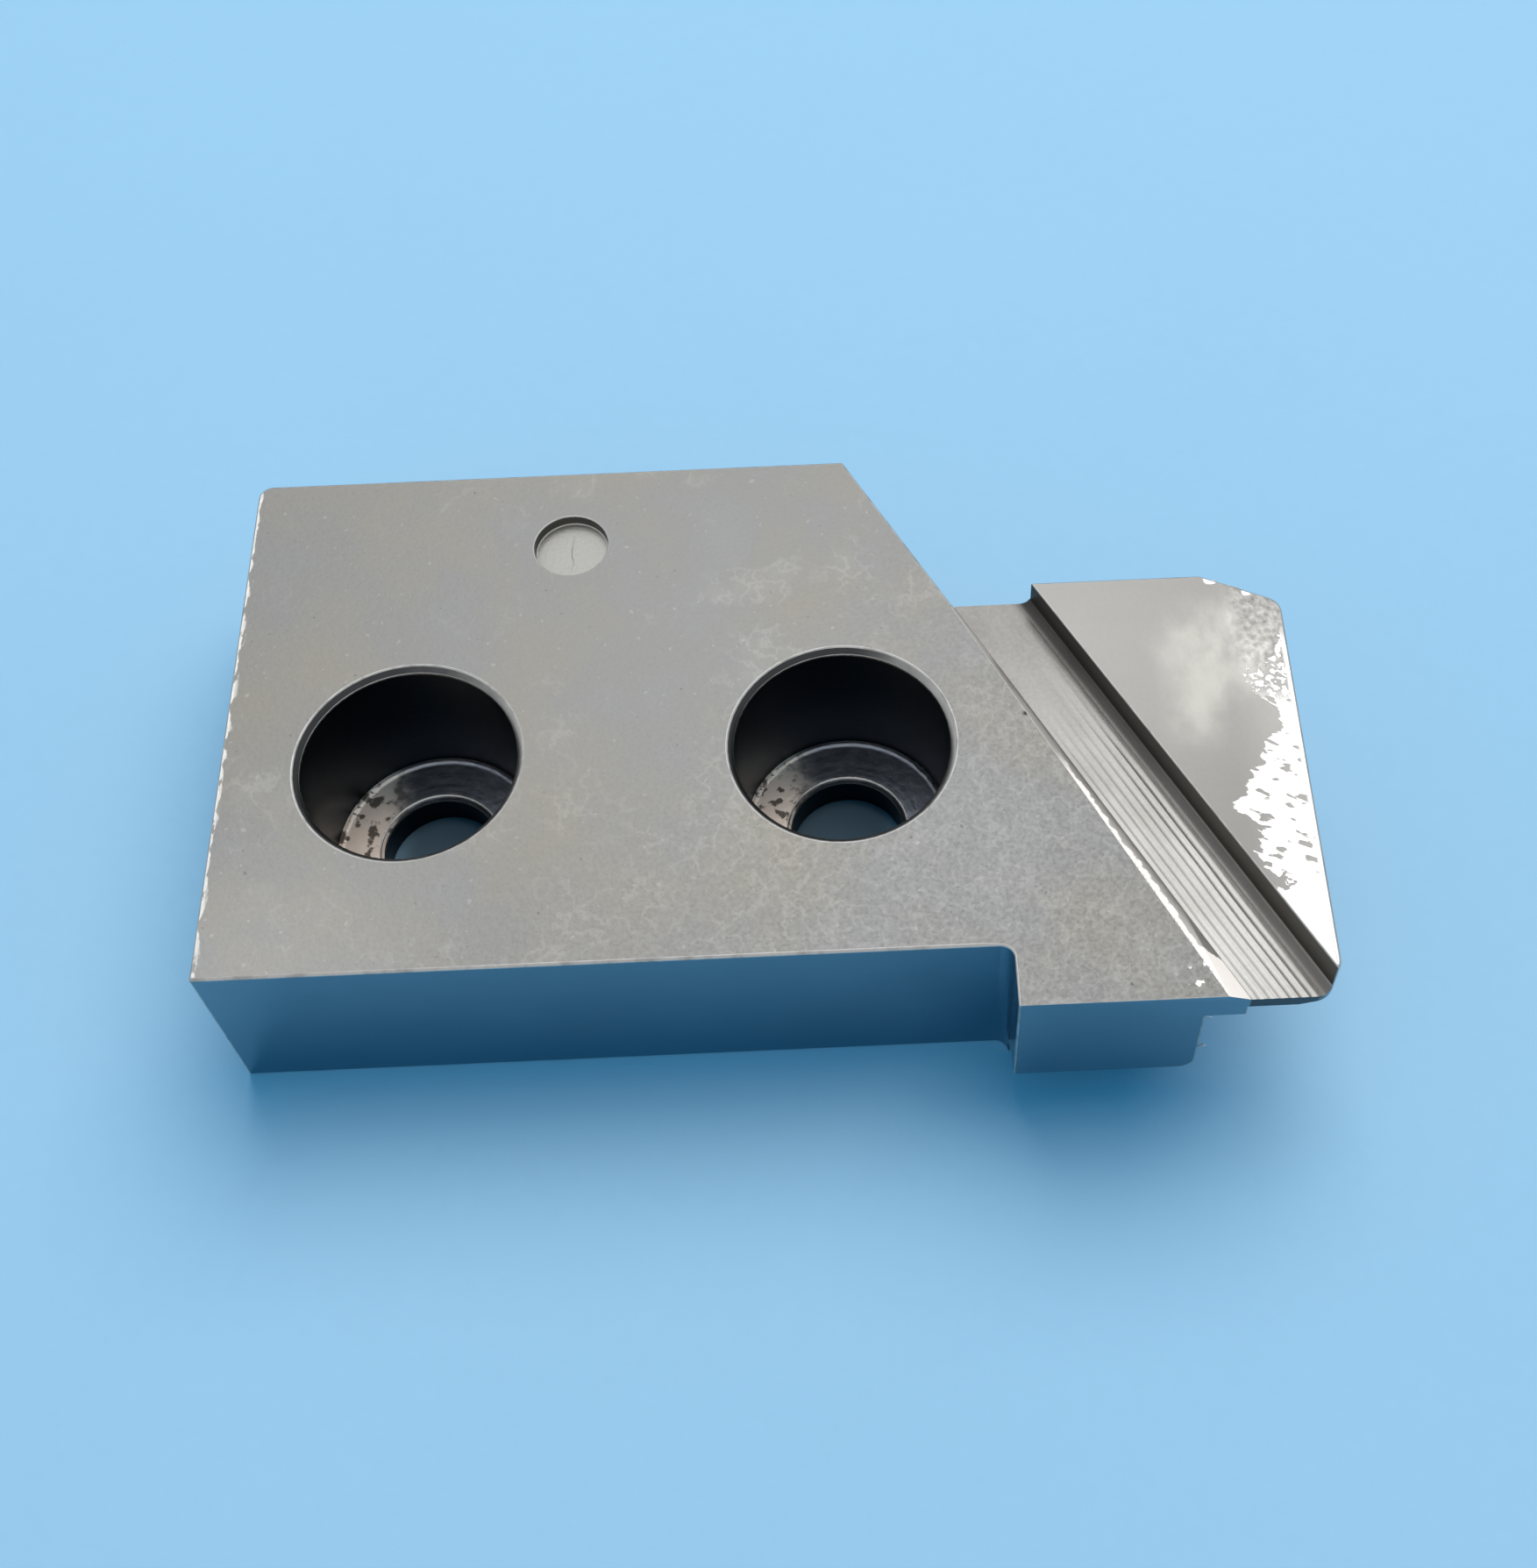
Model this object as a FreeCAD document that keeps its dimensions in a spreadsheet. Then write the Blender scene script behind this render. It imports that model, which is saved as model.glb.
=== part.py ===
"""Machined jaw block: a flat screw-down body with a raised blade on an overhanging plate.

Frame: millimetres, +Z up. The origin is on the axis of the first screw hole, in the bottom
face that the block is screwed down on. +X runs along the two screw holes towards the blade,
+Y runs from the front face to the back face.
"""
import FreeCAD, Part

import math
import os

import Sketcher
from FreeCAD import Vector

NODE = "jaw_block"

# Driving dimensions: alias, value, what it is. All lengths are in millimetres.
SIZES = [
    ("hole_spacing", 20.0, "between the two screw hole axes"),
    ("hole_to_end", 8.65, "first hole axis to the left end face"),
    ("hole_to_front", 10.8, "hole axes to the front face"),
    ("hole_to_slant", 9.6, "second hole axis to the slanted side, along the hole line"),
    ("body_depth", 27.3, "front face to back face"),
    ("body_height", 10.0, "bottom face to top face"),
    ("slant_angle", 61.2, "slanted side and blade wall against the front face, in degrees"),
    ("corner_fillet", 0.7, "radius of the back left corner"),
    ("screw_clearance", 5.5, "diameter of the screw holes"),
    ("counterbore_width", 10.0, "diameter of the counterbores"),
    ("seat_height", 1.9, "bottom face up to the screw seats"),
    ("seat_fillet", 0.3, "radius between counterbore wall and seat"),
    ("rim_chamfer", 0.3, "chamfer of the counterbore rims"),
    ("hole_chamfer", 0.2, "chamfer where a screw hole meets its seat"),
    ("nose_width", 8.2, "nose along the front"),
    ("nose_reach", 2.9, "how far the nose stands out of the front face"),
    ("nose_floor", 2.7, "bottom face up to the underside of the nose"),
    ("nose_fillet", 0.8, "radius of the nose's lower end"),
    ("notch_fillet", 0.6, "radius of the corner between nose and front face"),
    ("ledge_width", 1.8, "ledge between the nose's end and the slanted side"),
    ("ledge_thickness", 1.95, "top face down to the underside of the ledge"),
    ("plate_length", 21.05, "overhanging plate, front edge to back edge"),
    ("plate_thickness", 1.2, "top face down to the underside of the plate"),
    ("edge_thickness", 0.7, "top face down to the lower rim of the plate's outer edge"),
    ("relief_width", 1.5, "sloping relief under the plate's outer edge"),
    ("blade_rise", 1.6, "top face up to the top of the blade"),
    ("corner_length", 3.6, "cut corner of the blade, along its back edge"),
    ("corner_depth", 1.65, "cut corner of the blade, along its outer edge"),
    ("corner_round", 0.9, "radius at both ends of the cut corner"),
    ("tip_round", 0.8, "radius of the blade's front tip"),
    ("shelf_width", 3.65, "slanted side to blade wall, along the front"),
    ("shelf_drop", 0.4, "top face down to the shelf at the front edge"),
    ("shelf_back_drop", 0.05, "top face down to the shelf at the back edge"),
    ("shoulder_width", 1.0, "slope between top face and shelf at the front edge"),
    ("wall_fillet", 0.5, "radius at the foot of the blade wall"),
    ("recess_x", 7.1, "first hole axis to the centre of the round recess"),
    ("recess_to_back", 4.5, "centre of the round recess to the back face"),
    ("recess_width", 3.6, "diameter of the round recess"),
    ("recess_depth", 0.6, "depth of the round recess"),
]

# Places worked out from the driving dimensions, as expressions of the sheet.
LEFT = "-sizes.hole_to_end"
FRONT = "-sizes.hole_to_front"
BACK = "(sizes.body_depth - sizes.hole_to_front)"
NOSE_FRONT = "(-sizes.hole_to_front - sizes.nose_reach)"
PLATE_BACK = f"({NOSE_FRONT} + sizes.plate_length)"
SLOPE = "tan(sizes.slant_angle * 1deg)"


def slant_x(y):
    """Expression for the slanted side's x at the place y."""
    return f"(sizes.hole_spacing + sizes.hole_to_slant - ({y}) / {SLOPE})"


def wall_x(y):
    """Expression for the blade wall's x at the place y: the slanted side moved by the shelf."""
    return f"({slant_x(y)} + sizes.shelf_width)"


TIP_X = wall_x(NOSE_FRONT)
LEDGE_END = slant_x(NOSE_FRONT)
NOSE_END = f"({LEDGE_END} - sizes.ledge_width)"
NOSE_START = f"({NOSE_END} - sizes.nose_width)"
CORNER_X = f"({TIP_X} - sizes.corner_length)"
CORNER_Y = f"({PLATE_BACK} - sizes.corner_depth)"
PLATE_FLOOR = "(sizes.body_height - sizes.plate_thickness)"
BLADE_TOP = "(sizes.body_height + sizes.blade_rise)"

# The plate's stock stands out past its front and outer edges until it is trimmed.
STOCK = "sizes.shelf_width"
STOCK_FRONT = f"({NOSE_FRONT} - {STOCK})"
STOCK_END = f"({wall_x(STOCK_FRONT)} + {STOCK})"


def make_sheet(doc):
    """Put every driving dimension into a cell of the sheet, under its alias."""
    sheet = doc.addObject("Spreadsheet::Sheet", "sizes")
    for row, (alias, value, meaning) in enumerate(SIZES, start=1):
        sheet.set(f"A{row}", meaning)
        sheet.set(f"B{row}", str(value))
        sheet.setAlias(f"B{row}", alias)
    doc.recompute()


def value_of(doc, expression):
    """The number that an expression of the sheet stands for now."""
    return float(doc.getObject("sizes").evalExpression(expression))


def make_sketch(body, name, role, offset):
    """Empty sketch on one of the body's origin planes, moved along the plane's normal."""
    sketch = body.newObject("Sketcher::SketchObject", name)
    plane = next(item for item in body.Origin.OriginFeatures if item.Role == role)
    sketch.AttachmentSupport = [(plane, "")]
    sketch.MapMode = "FlatFace"
    sketch.setExpression("AttachmentOffset.Base.z", offset)
    return sketch


def top_sketch(body, name, height):
    """Sketch that is seen from above, at a height."""
    return make_sketch(body, name, "XY_Plane", height)


def front_sketch(body, name):
    """Sketch that is seen from the front, in the nose's front face: x and height."""
    return make_sketch(body, name, "XZ_Plane", f"-{NOSE_FRONT}")


def bind(sketch, constraint, expression):
    """Add a constraint and tie its value to the sheet."""
    index = sketch.addConstraint(constraint)
    sketch.setExpression(f"Constraints[{index}]", expression)


def bind_point(sketch, geometry, vertex, x, y):
    """Tie both coordinates of a point of the sketch to expressions."""
    x_now, y_now = value_of(sketch.Document, x), value_of(sketch.Document, y)
    bind(sketch, Sketcher.Constraint("DistanceX", -1, 1, geometry, vertex, x_now), x)
    bind(sketch, Sketcher.Constraint("DistanceY", -1, 1, geometry, vertex, y_now), y)


def place_of(doc, x, y):
    """The point in the sketch plane that two expressions stand for now."""
    return Vector(value_of(doc, x), value_of(doc, y), 0)


def draw_outline(sketch, corners):
    """Closed outline through corners, each an (x, y) pair of expressions.

    A corner with three more expressions (radius, centre x, centre y) starts an arc that
    runs anticlockwise about that centre to the next corner.
    """
    doc = sketch.Document
    places = [place_of(doc, *corner[:2]) for corner in corners]
    for index, corner in enumerate(corners):
        start, end = places[index], places[(index + 1) % len(corners)]
        if len(corner) == 2:
            sketch.addGeometry(Part.LineSegment(start, end), False)
        else:
            radius = value_of(doc, corner[2])
            circle = Part.Circle(place_of(doc, *corner[3:]), Vector(0, 0, 1), radius)
            arc = Part.ArcOfCircle(circle, circle.parameter(start), circle.parameter(end))
            sketch.addGeometry(arc, False)
            bind(sketch, Sketcher.Constraint("Radius", index, radius), corner[2])
    for index, corner in enumerate(corners):
        following = (index + 1) % len(corners)
        sketch.addConstraint(Sketcher.Constraint("Coincident", index, 2, following, 1))
        bind_point(sketch, index, 1, *corner[:2])


def draw_circles(sketch, diameter, centres):
    """Circles of one diameter, each centre an (x, y) pair of expressions."""
    radius = value_of(sketch.Document, diameter) / 2
    for index, centre in enumerate(centres):
        circle = Part.Circle(place_of(sketch.Document, *centre), Vector(0, 0, 1), radius)
        sketch.addGeometry(circle, False)
        bind_point(sketch, index, 3, *centre)
        bind(sketch, Sketcher.Constraint("Diameter", index, 2 * radius), diameter)


def add_pad(body, name, sketch, length):
    """Pad a sketch along its plane's normal."""
    pad = body.newObject("PartDesign::Pad", name)
    pad.Profile = sketch
    pad.Refine = True
    pad.setExpression("Length", length)
    body.Document.recompute()


def add_pocket(body, name, sketch, length=None, direction=None):
    """Pocket a sketch against its plane's normal, and check that it cuts.

    With a direction it slants that way, with the length still measured along the normal.
    Without a length it goes right through.
    """
    volume = body.Shape.Volume
    pocket = body.newObject("PartDesign::Pocket", name)
    pocket.Profile = sketch
    pocket.Refine = True
    if direction is not None:
        pocket.UseCustomVector = True
        pocket.AlongSketchNormal = True
        for axis, part in zip("xyz", direction):
            pocket.setExpression(f"Direction.{axis}", part)
    if length is None:
        pocket.Type = "ThroughAll"
    else:
        pocket.setExpression("Length", length)
    body.Document.recompute()
    if not body.Shape.Volume < volume:
        raise RuntimeError(f"{name} removes no material")


def dress_edges(body, kind, name, amount, edges):
    """Fillet or chamfer some edges of the body, all by one amount from the sheet."""
    names = [f"Edge{number}" for number, edge in enumerate(body.Shape.Edges, 1) if edges(edge)]
    if not names:
        raise RuntimeError(f"{name} finds no edge")
    base = body.Tip
    feature = body.newObject(f"PartDesign::{kind}", name)
    feature.Base = (base, names)
    feature.setExpression("Radius" if kind == "Fillet" else "Size", amount)
    body.Document.recompute()


def near(first, second):
    """Whether two lengths are the same, for telling edges apart."""
    return abs(first - second) < 1e-4


def on_line(edge, **fixed):
    """Whether all of a straight edge lies at the given coordinates, such as x=1.0, z=2.0."""
    if not isinstance(edge.Curve, Part.Line):
        return False
    points = [vertex.Point for vertex in edge.Vertexes]
    return all(near(getattr(point, axis), place) for point in points for axis, place in fixed.items())


def rims(doc, diameter, height):
    """Test for the round edges of a diameter at a height."""
    radius, level = value_of(doc, diameter) / 2, value_of(doc, height)

    def test(edge):
        curve = edge.Curve
        return isinstance(curve, Part.Circle) and near(curve.Radius, radius) and near(curve.Center.z, level)

    return test


def uprights(doc, *corners):
    """Test for the upright edges at some corners, each an (x, y) pair of expressions."""
    places = [place_of(doc, *corner) for corner in corners]
    return lambda edge: any(on_line(edge, x=place.x, y=place.y) for place in places)


def wall_foot(doc):
    """Test for the edges where the shelf meets the blade wall."""
    angle = math.radians(value_of(doc, "sizes.slant_angle"))
    across = Vector(math.sin(angle), math.cos(angle), 0)
    tip = place_of(doc, TIP_X, NOSE_FRONT)
    top = value_of(doc, "sizes.body_height")
    floor = value_of(doc, PLATE_FLOOR)

    def test(edge):
        points = [vertex.Point for vertex in edge.Vertexes]
        in_wall = all(near(across.dot(point - tip), 0) for point in points)
        in_shelf = all(floor < point.z < top + 1e-4 for point in points)
        return in_wall and in_shelf and not near(points[0].y, points[-1].y)

    return test


def make_body_block(body):
    """Flat body with the slanted side, and the nose that stands out of its front face."""
    doc = body.Document
    sketch = top_sketch(body, "footprint", "0")
    draw_outline(sketch, [
        (LEFT, FRONT),
        (NOSE_START, FRONT),
        (NOSE_START, NOSE_FRONT),
        (LEDGE_END, NOSE_FRONT),
        (slant_x(BACK), BACK),
        (LEFT, BACK),
    ])
    add_pad(body, "block", sketch, "sizes.body_height")
    dress_edges(body, "Fillet", "notch_corner", "sizes.notch_fillet", uprights(doc, (NOSE_START, FRONT)))
    dress_edges(body, "Fillet", "back_corner", "sizes.corner_fillet", uprights(doc, (LEFT, BACK)))


def make_plate_and_blade(body):
    """Oversize plate beside the slanted side, with the blade on it: stock for the milling."""
    sketch = top_sketch(body, "plate_outline", PLATE_FLOOR)
    draw_outline(sketch, [
        (slant_x(STOCK_FRONT), STOCK_FRONT),
        (STOCK_END, STOCK_FRONT),
        (STOCK_END, PLATE_BACK),
        (slant_x(PLATE_BACK), PLATE_BACK),
    ])
    add_pad(body, "plate", sketch, "sizes.plate_thickness")
    sketch = top_sketch(body, "blade_outline", "sizes.body_height")
    draw_outline(sketch, [
        (wall_x(STOCK_FRONT), STOCK_FRONT),
        (STOCK_END, STOCK_FRONT),
        (STOCK_END, PLATE_BACK),
        (wall_x(PLATE_BACK), PLATE_BACK),
    ])
    add_pad(body, "blade", sketch, "sizes.blade_rise")


def mill_shelf(body):
    """Shelf along the blade wall: one straight pass that climbs towards the back."""
    climb = "((sizes.shelf_drop - sizes.shelf_back_drop) / sizes.plate_length)"
    start_left = slant_x(STOCK_FRONT)
    start_height = f"(sizes.body_height - sizes.shelf_drop - {STOCK} * {climb})"
    shoulder_left = f"({start_left} - sizes.shoulder_width)"
    sketch = make_sketch(body, "shelf_profile", "XZ_Plane", f"-{STOCK_FRONT}")
    draw_outline(sketch, [
        (start_left, start_height),
        (wall_x(STOCK_FRONT), start_height),
        (wall_x(STOCK_FRONT), BLADE_TOP),
        (shoulder_left, BLADE_TOP),
        (shoulder_left, f"{start_height} + sizes.shelf_drop"),
    ])
    direction = (f"-1 / {SLOPE}", "1", climb)
    add_pocket(body, "shelf", sketch, f"sizes.plate_length + {STOCK}", direction)
    dress_edges(body, "Fillet", "wall_foot", "sizes.wall_fillet", wall_foot(body.Document))


def trim_plate(body):
    """Cut plate and blade to their outline, with a round tip, a cut corner and a relief."""
    inner_x, inner_y = f"({TIP_X} - sizes.tip_round)", f"({NOSE_FRONT} + sizes.tip_round)"
    beyond_back = f"({PLATE_BACK} + {STOCK})"
    sketch = top_sketch(body, "trim_outline", BLADE_TOP)
    draw_outline(sketch, [
        (LEDGE_END, STOCK_FRONT),
        (LEDGE_END, NOSE_FRONT),
        (inner_x, NOSE_FRONT, "sizes.tip_round", inner_x, inner_y),
        (TIP_X, inner_y),
        (TIP_X, CORNER_Y),
        (CORNER_X, PLATE_BACK),
        (CORNER_X, beyond_back),
        (STOCK_END, beyond_back),
        (STOCK_END, STOCK_FRONT),
    ])
    add_pocket(body, "trim", sketch)
    corner_ends = uprights(body.Document, (TIP_X, CORNER_Y), (CORNER_X, PLATE_BACK))
    dress_edges(body, "Fillet", "cut_corner_ends", "sizes.corner_round", corner_ends)
    sketch = front_sketch(body, "relief_profile")
    draw_outline(sketch, [
        (f"{TIP_X} - sizes.relief_width", PLATE_FLOOR),
        (TIP_X, PLATE_FLOOR),
        (TIP_X, "sizes.body_height - sizes.edge_thickness"),
    ])
    add_pocket(body, "relief", sketch)


def trim_nose(body):
    """Cut the nose short of the floor and of the slanted side, which leaves the ledge."""
    sketch = front_sketch(body, "nose_profile")
    ledge_floor = "(sizes.body_height - sizes.ledge_thickness)"
    draw_outline(sketch, [
        (NOSE_START, "0"),
        (LEDGE_END, "0"),
        (LEDGE_END, ledge_floor),
        (NOSE_END, ledge_floor),
        (NOSE_END, "sizes.nose_floor"),
        (NOSE_START, "sizes.nose_floor"),
    ])
    add_pocket(body, "under_nose", sketch, "sizes.nose_reach")
    end_x = value_of(body.Document, NOSE_END)
    floor = value_of(body.Document, "sizes.nose_floor")

    def lower_end(edge):
        """The nose's lower end edge, square to the front."""
        return on_line(edge, x=end_x, z=floor)

    dress_edges(body, "Fillet", "nose_corner", "sizes.nose_fillet", lower_end)


def bore_holes(body):
    """Two counterbored screw holes, and the shallow round recess."""
    doc = body.Document
    axes = [("0", "0"), ("sizes.hole_spacing", "0")]
    sketch = top_sketch(body, "counterbore_circles", "sizes.body_height")
    draw_circles(sketch, "sizes.counterbore_width", axes)
    add_pocket(body, "counterbores", sketch, "sizes.body_height - sizes.seat_height")
    sketch = top_sketch(body, "screw_hole_circles", "sizes.body_height")
    draw_circles(sketch, "sizes.screw_clearance", axes)
    add_pocket(body, "screw_holes", sketch)
    seats = rims(doc, "sizes.counterbore_width", "sizes.seat_height")
    dress_edges(body, "Fillet", "seat_radius", "sizes.seat_fillet", seats)
    mouths = rims(doc, "sizes.counterbore_width", "sizes.body_height")
    dress_edges(body, "Chamfer", "rim_chamfers", "sizes.rim_chamfer", mouths)
    inner = rims(doc, "sizes.screw_clearance", "sizes.seat_height")
    dress_edges(body, "Chamfer", "hole_chamfers", "sizes.hole_chamfer", inner)
    sketch = top_sketch(body, "recess_circle", "sizes.body_height")
    draw_circles(sketch, "sizes.recess_width", [("sizes.recess_x", f"{BACK} - sizes.recess_to_back")])
    add_pocket(body, "recess", sketch, "sizes.recess_depth")


def check(doc, body):
    """Stop if any object of the document failed, or if the body isn't one valid solid."""
    for item in doc.Objects:
        if {"Invalid", "Error"} & set(item.State):
            raise RuntimeError(f"{item.Name} failed: {item.State}")
    shape = body.Shape
    if shape.isNull() or not shape.isValid() or len(shape.Solids) != 1:
        raise RuntimeError(f"{body.Label} isn't one valid solid")


def main():
    """Build the block and write its STEP file."""
    doc = FreeCAD.newDocument("jaw_block_part")
    make_sheet(doc)
    body = doc.addObject("PartDesign::Body", NODE)
    body.Label = NODE
    body.Placement = FreeCAD.Placement()
    make_body_block(body)
    make_plate_and_blade(body)
    mill_shelf(body)
    trim_plate(body)
    trim_nose(body)
    bore_holes(body)
    doc.recompute()
    check(doc, body)
    box = body.Shape.BoundBox
    extent = " x ".join(f"{length:.2f}" for length in (box.XLength, box.YLength, box.ZLength))
    print(f"{NODE}: {body.Shape.Volume:.1f} mm3, {extent} mm")
    os.makedirs("parts", exist_ok=True)
    body.Shape.exportStep(f"parts/{NODE}.step")


main()
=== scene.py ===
"""Looks of the machined jaw block.

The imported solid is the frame. This script softens its edges, leaves the cutter's ridges on the
shelf, adds the burrs that machining left and gives each cut a finish of its own. Geometry is in
metres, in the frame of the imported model. Finishes work on object coordinates in millimetres.
"""

import logging
import math
from dataclasses import dataclass, field
from enum import IntEnum

import bmesh
import bpy
from mathutils import Euler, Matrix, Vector


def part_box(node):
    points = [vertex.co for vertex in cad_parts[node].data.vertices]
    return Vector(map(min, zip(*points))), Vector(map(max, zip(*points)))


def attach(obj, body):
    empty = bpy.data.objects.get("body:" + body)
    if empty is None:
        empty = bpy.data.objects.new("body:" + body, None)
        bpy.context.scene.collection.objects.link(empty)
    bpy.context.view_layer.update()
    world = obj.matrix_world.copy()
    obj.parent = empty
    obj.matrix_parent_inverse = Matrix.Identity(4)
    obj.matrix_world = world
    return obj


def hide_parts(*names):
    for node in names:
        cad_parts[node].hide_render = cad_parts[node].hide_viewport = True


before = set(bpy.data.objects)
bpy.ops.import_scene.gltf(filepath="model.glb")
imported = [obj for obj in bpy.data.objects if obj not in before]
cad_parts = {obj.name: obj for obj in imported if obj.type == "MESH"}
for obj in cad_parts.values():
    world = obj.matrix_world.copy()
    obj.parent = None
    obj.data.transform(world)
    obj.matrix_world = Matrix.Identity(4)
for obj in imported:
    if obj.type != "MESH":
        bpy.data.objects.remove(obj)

LOG = logging.getLogger("jaw_block")
MM = 0.001
Colour = tuple[float, float, float]
Place = tuple[float, float]


class Cut(IntEnum):
    """The tool or wear that left a face, in the order of the body's material slots."""

    BLASTED = 0
    GROUND = 1
    MILLED = 2
    WALL = 3
    LAPPED = 4
    BORED = 5
    SEAT = 6
    DIMPLE = 7
    SHOULDER = 8
    EDGE = 9
    RIM = 10


# ---------------------------------------------------------------- node trees


class Sock:
    """One output of a node, on which arithmetic adds Math nodes."""

    def __init__(self, tree: "NodeTree", socket: bpy.types.NodeSocket) -> None:
        """Wraps a socket of that tree."""
        self.tree = tree
        self.socket = socket

    def math(self, operation: str, *values: "Sock | float") -> "Sock":
        """Adds one Math node.

        Args:
            operation: the Math node's operation.
            values: what its sockets take, in order.

        Returns:
            The node's result.
        """
        return self.tree.node("ShaderNodeMath", {"operation": operation}, dict(enumerate(values)))

    def __add__(self, other: "Sock | float") -> "Sock":
        """This plus other."""
        return self.math("ADD", self, other)

    def __radd__(self, other: "Sock | float") -> "Sock":
        """Other plus this."""
        return self.math("ADD", other, self)

    def __sub__(self, other: "Sock | float") -> "Sock":
        """This less other."""
        return self.math("SUBTRACT", self, other)

    def __rsub__(self, other: "Sock | float") -> "Sock":
        """Other less this."""
        return self.math("SUBTRACT", other, self)

    def __mul__(self, other: "Sock | float") -> "Sock":
        """This times other."""
        return self.math("MULTIPLY", self, other)

    def __rmul__(self, other: "Sock | float") -> "Sock":
        """Other times this."""
        return self.math("MULTIPLY", other, self)

    def __truediv__(self, other: "Sock | float") -> "Sock":
        """This over other."""
        return self.math("DIVIDE", self, other)

    def __rtruediv__(self, other: "Sock | float") -> "Sock":
        """Other over this."""
        return self.math("DIVIDE", other, self)

    def __pow__(self, other: "Sock | float") -> "Sock":
        """This to the power of other."""
        return self.math("POWER", self, other)

    def __neg__(self) -> "Sock":
        """This with its sign turned."""
        return self.math("MULTIPLY", self, -1.0)

    def __abs__(self) -> "Sock":
        """This without its sign."""
        return self.math("ABSOLUTE", self)

    def cosine(self) -> "Sock":
        """The cosine of this angle in radians."""
        return self.math("COSINE", self)

    def most(self, other: "Sock | float") -> "Sock":
        """The greater of this and other."""
        return self.math("MAXIMUM", self, other)

    def above(self, limit: "Sock | float") -> "Sock":
        """1 where this is greater than the limit, and 0 elsewhere."""
        return self.math("GREATER_THAN", self, limit)

    def rise(self, start: "Sock | float", end: "Sock | float") -> "Sock":
        """A smooth step.

        Args:
            start: where the step is still 0.
            end: where it has reached 1, which may be below start.

        Returns:
            A value from 0 to 1.
        """
        sockets = {"Value": self, "From Min": start, "From Max": end}
        return self.tree.node("ShaderNodeMapRange", {"interpolation_type": "SMOOTHSTEP"}, sockets)

    def near(self, place: "Sock | float", reach: "Sock | float") -> "Sock":
        """1 at that place, falling smoothly to 0 at that reach on both sides."""
        return abs(self - place).rise(reach, 0.0)


class NodeTree:
    """Adds nodes to a tree."""

    def __init__(self, tree: bpy.types.NodeTree) -> None:
        """Starts on an empty tree."""
        tree.nodes.clear()
        self.tree = tree

    @staticmethod
    def pick(sockets: bpy.types.bpy_prop_collection, key: "int | str") -> bpy.types.NodeSocket:
        """Finds a socket.

        Args:
            sockets: a node's inputs or outputs.
            key: the socket's number, or its name among those in use.

        Returns:
            The socket.
        """
        if isinstance(key, int):
            return sockets[key]
        return next(socket for socket in sockets if socket.name == key and socket.enabled)

    def node(
        self,
        kind: str,
        settings: "dict[str, object] | None" = None,
        inputs: "dict[int | str, object] | None" = None,
        output: "int | str" = 0,
    ) -> Sock:
        """Adds one node.

        Args:
            kind: the node's type.
            settings: its own settings, such as a Math node's operation, which are made first.
            inputs: values or links for its sockets, by number or name.
            output: the socket to return.

        Returns:
            That output.
        """
        made = self.tree.nodes.new(kind)
        for name, value in (settings or {}).items():
            setattr(made, name, value)
        for key, value in (inputs or {}).items():
            socket = self.pick(made.inputs, key)
            if isinstance(value, Sock):
                self.tree.links.new(value.socket, socket)
            else:
                socket.default_value = value
        return Sock(self, self.pick(made.outputs, output) if made.outputs else None)

    def parts(self, vector: Sock) -> "tuple[Sock, Sock, Sock]":
        """Splits a vector.

        Args:
            vector: a link to the vector.

        Returns:
            Its x, y and z.
        """
        split = self.node("ShaderNodeSeparateXYZ", None, {0: vector})
        node = split.socket.node
        return split, Sock(self, node.outputs[1]), Sock(self, node.outputs[2])

    def vector(self, x: "Sock | float", y: "Sock | float", z: "Sock | float") -> Sock:
        """A vector of three values."""
        return self.node("ShaderNodeCombineXYZ", None, {0: x, 1: y, 2: z})

    def scaled(self, vector: "Sock | Colour", factor: "Sock | float") -> Sock:
        """A vector or colour times a value."""
        return self.node("ShaderNodeVectorMath", {"operation": "SCALE"}, {0: vector, "Scale": factor})

    def times(self, first: Sock, second: Sock) -> Sock:
        """Two vectors multiplied, each direction by itself."""
        return self.node("ShaderNodeVectorMath", {"operation": "MULTIPLY"}, {0: first, 1: second})

    def noise(self, vector: Sock, scale: float, seed: float, detail: float = 2.0) -> Sock:
        """A noise pattern.

        Args:
            vector: the place it is read at.
            scale: how many features there are per unit of that vector.
            seed: the pattern's number.
            detail: its number of finer layers.

        Returns:
            A value from 0 to 1, mostly near 0.5.
        """
        sockets = {"Vector": vector, "W": seed, "Scale": scale, "Detail": detail}
        return self.node("ShaderNodeTexNoise", {"noise_dimensions": "4D"}, sockets)


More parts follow.
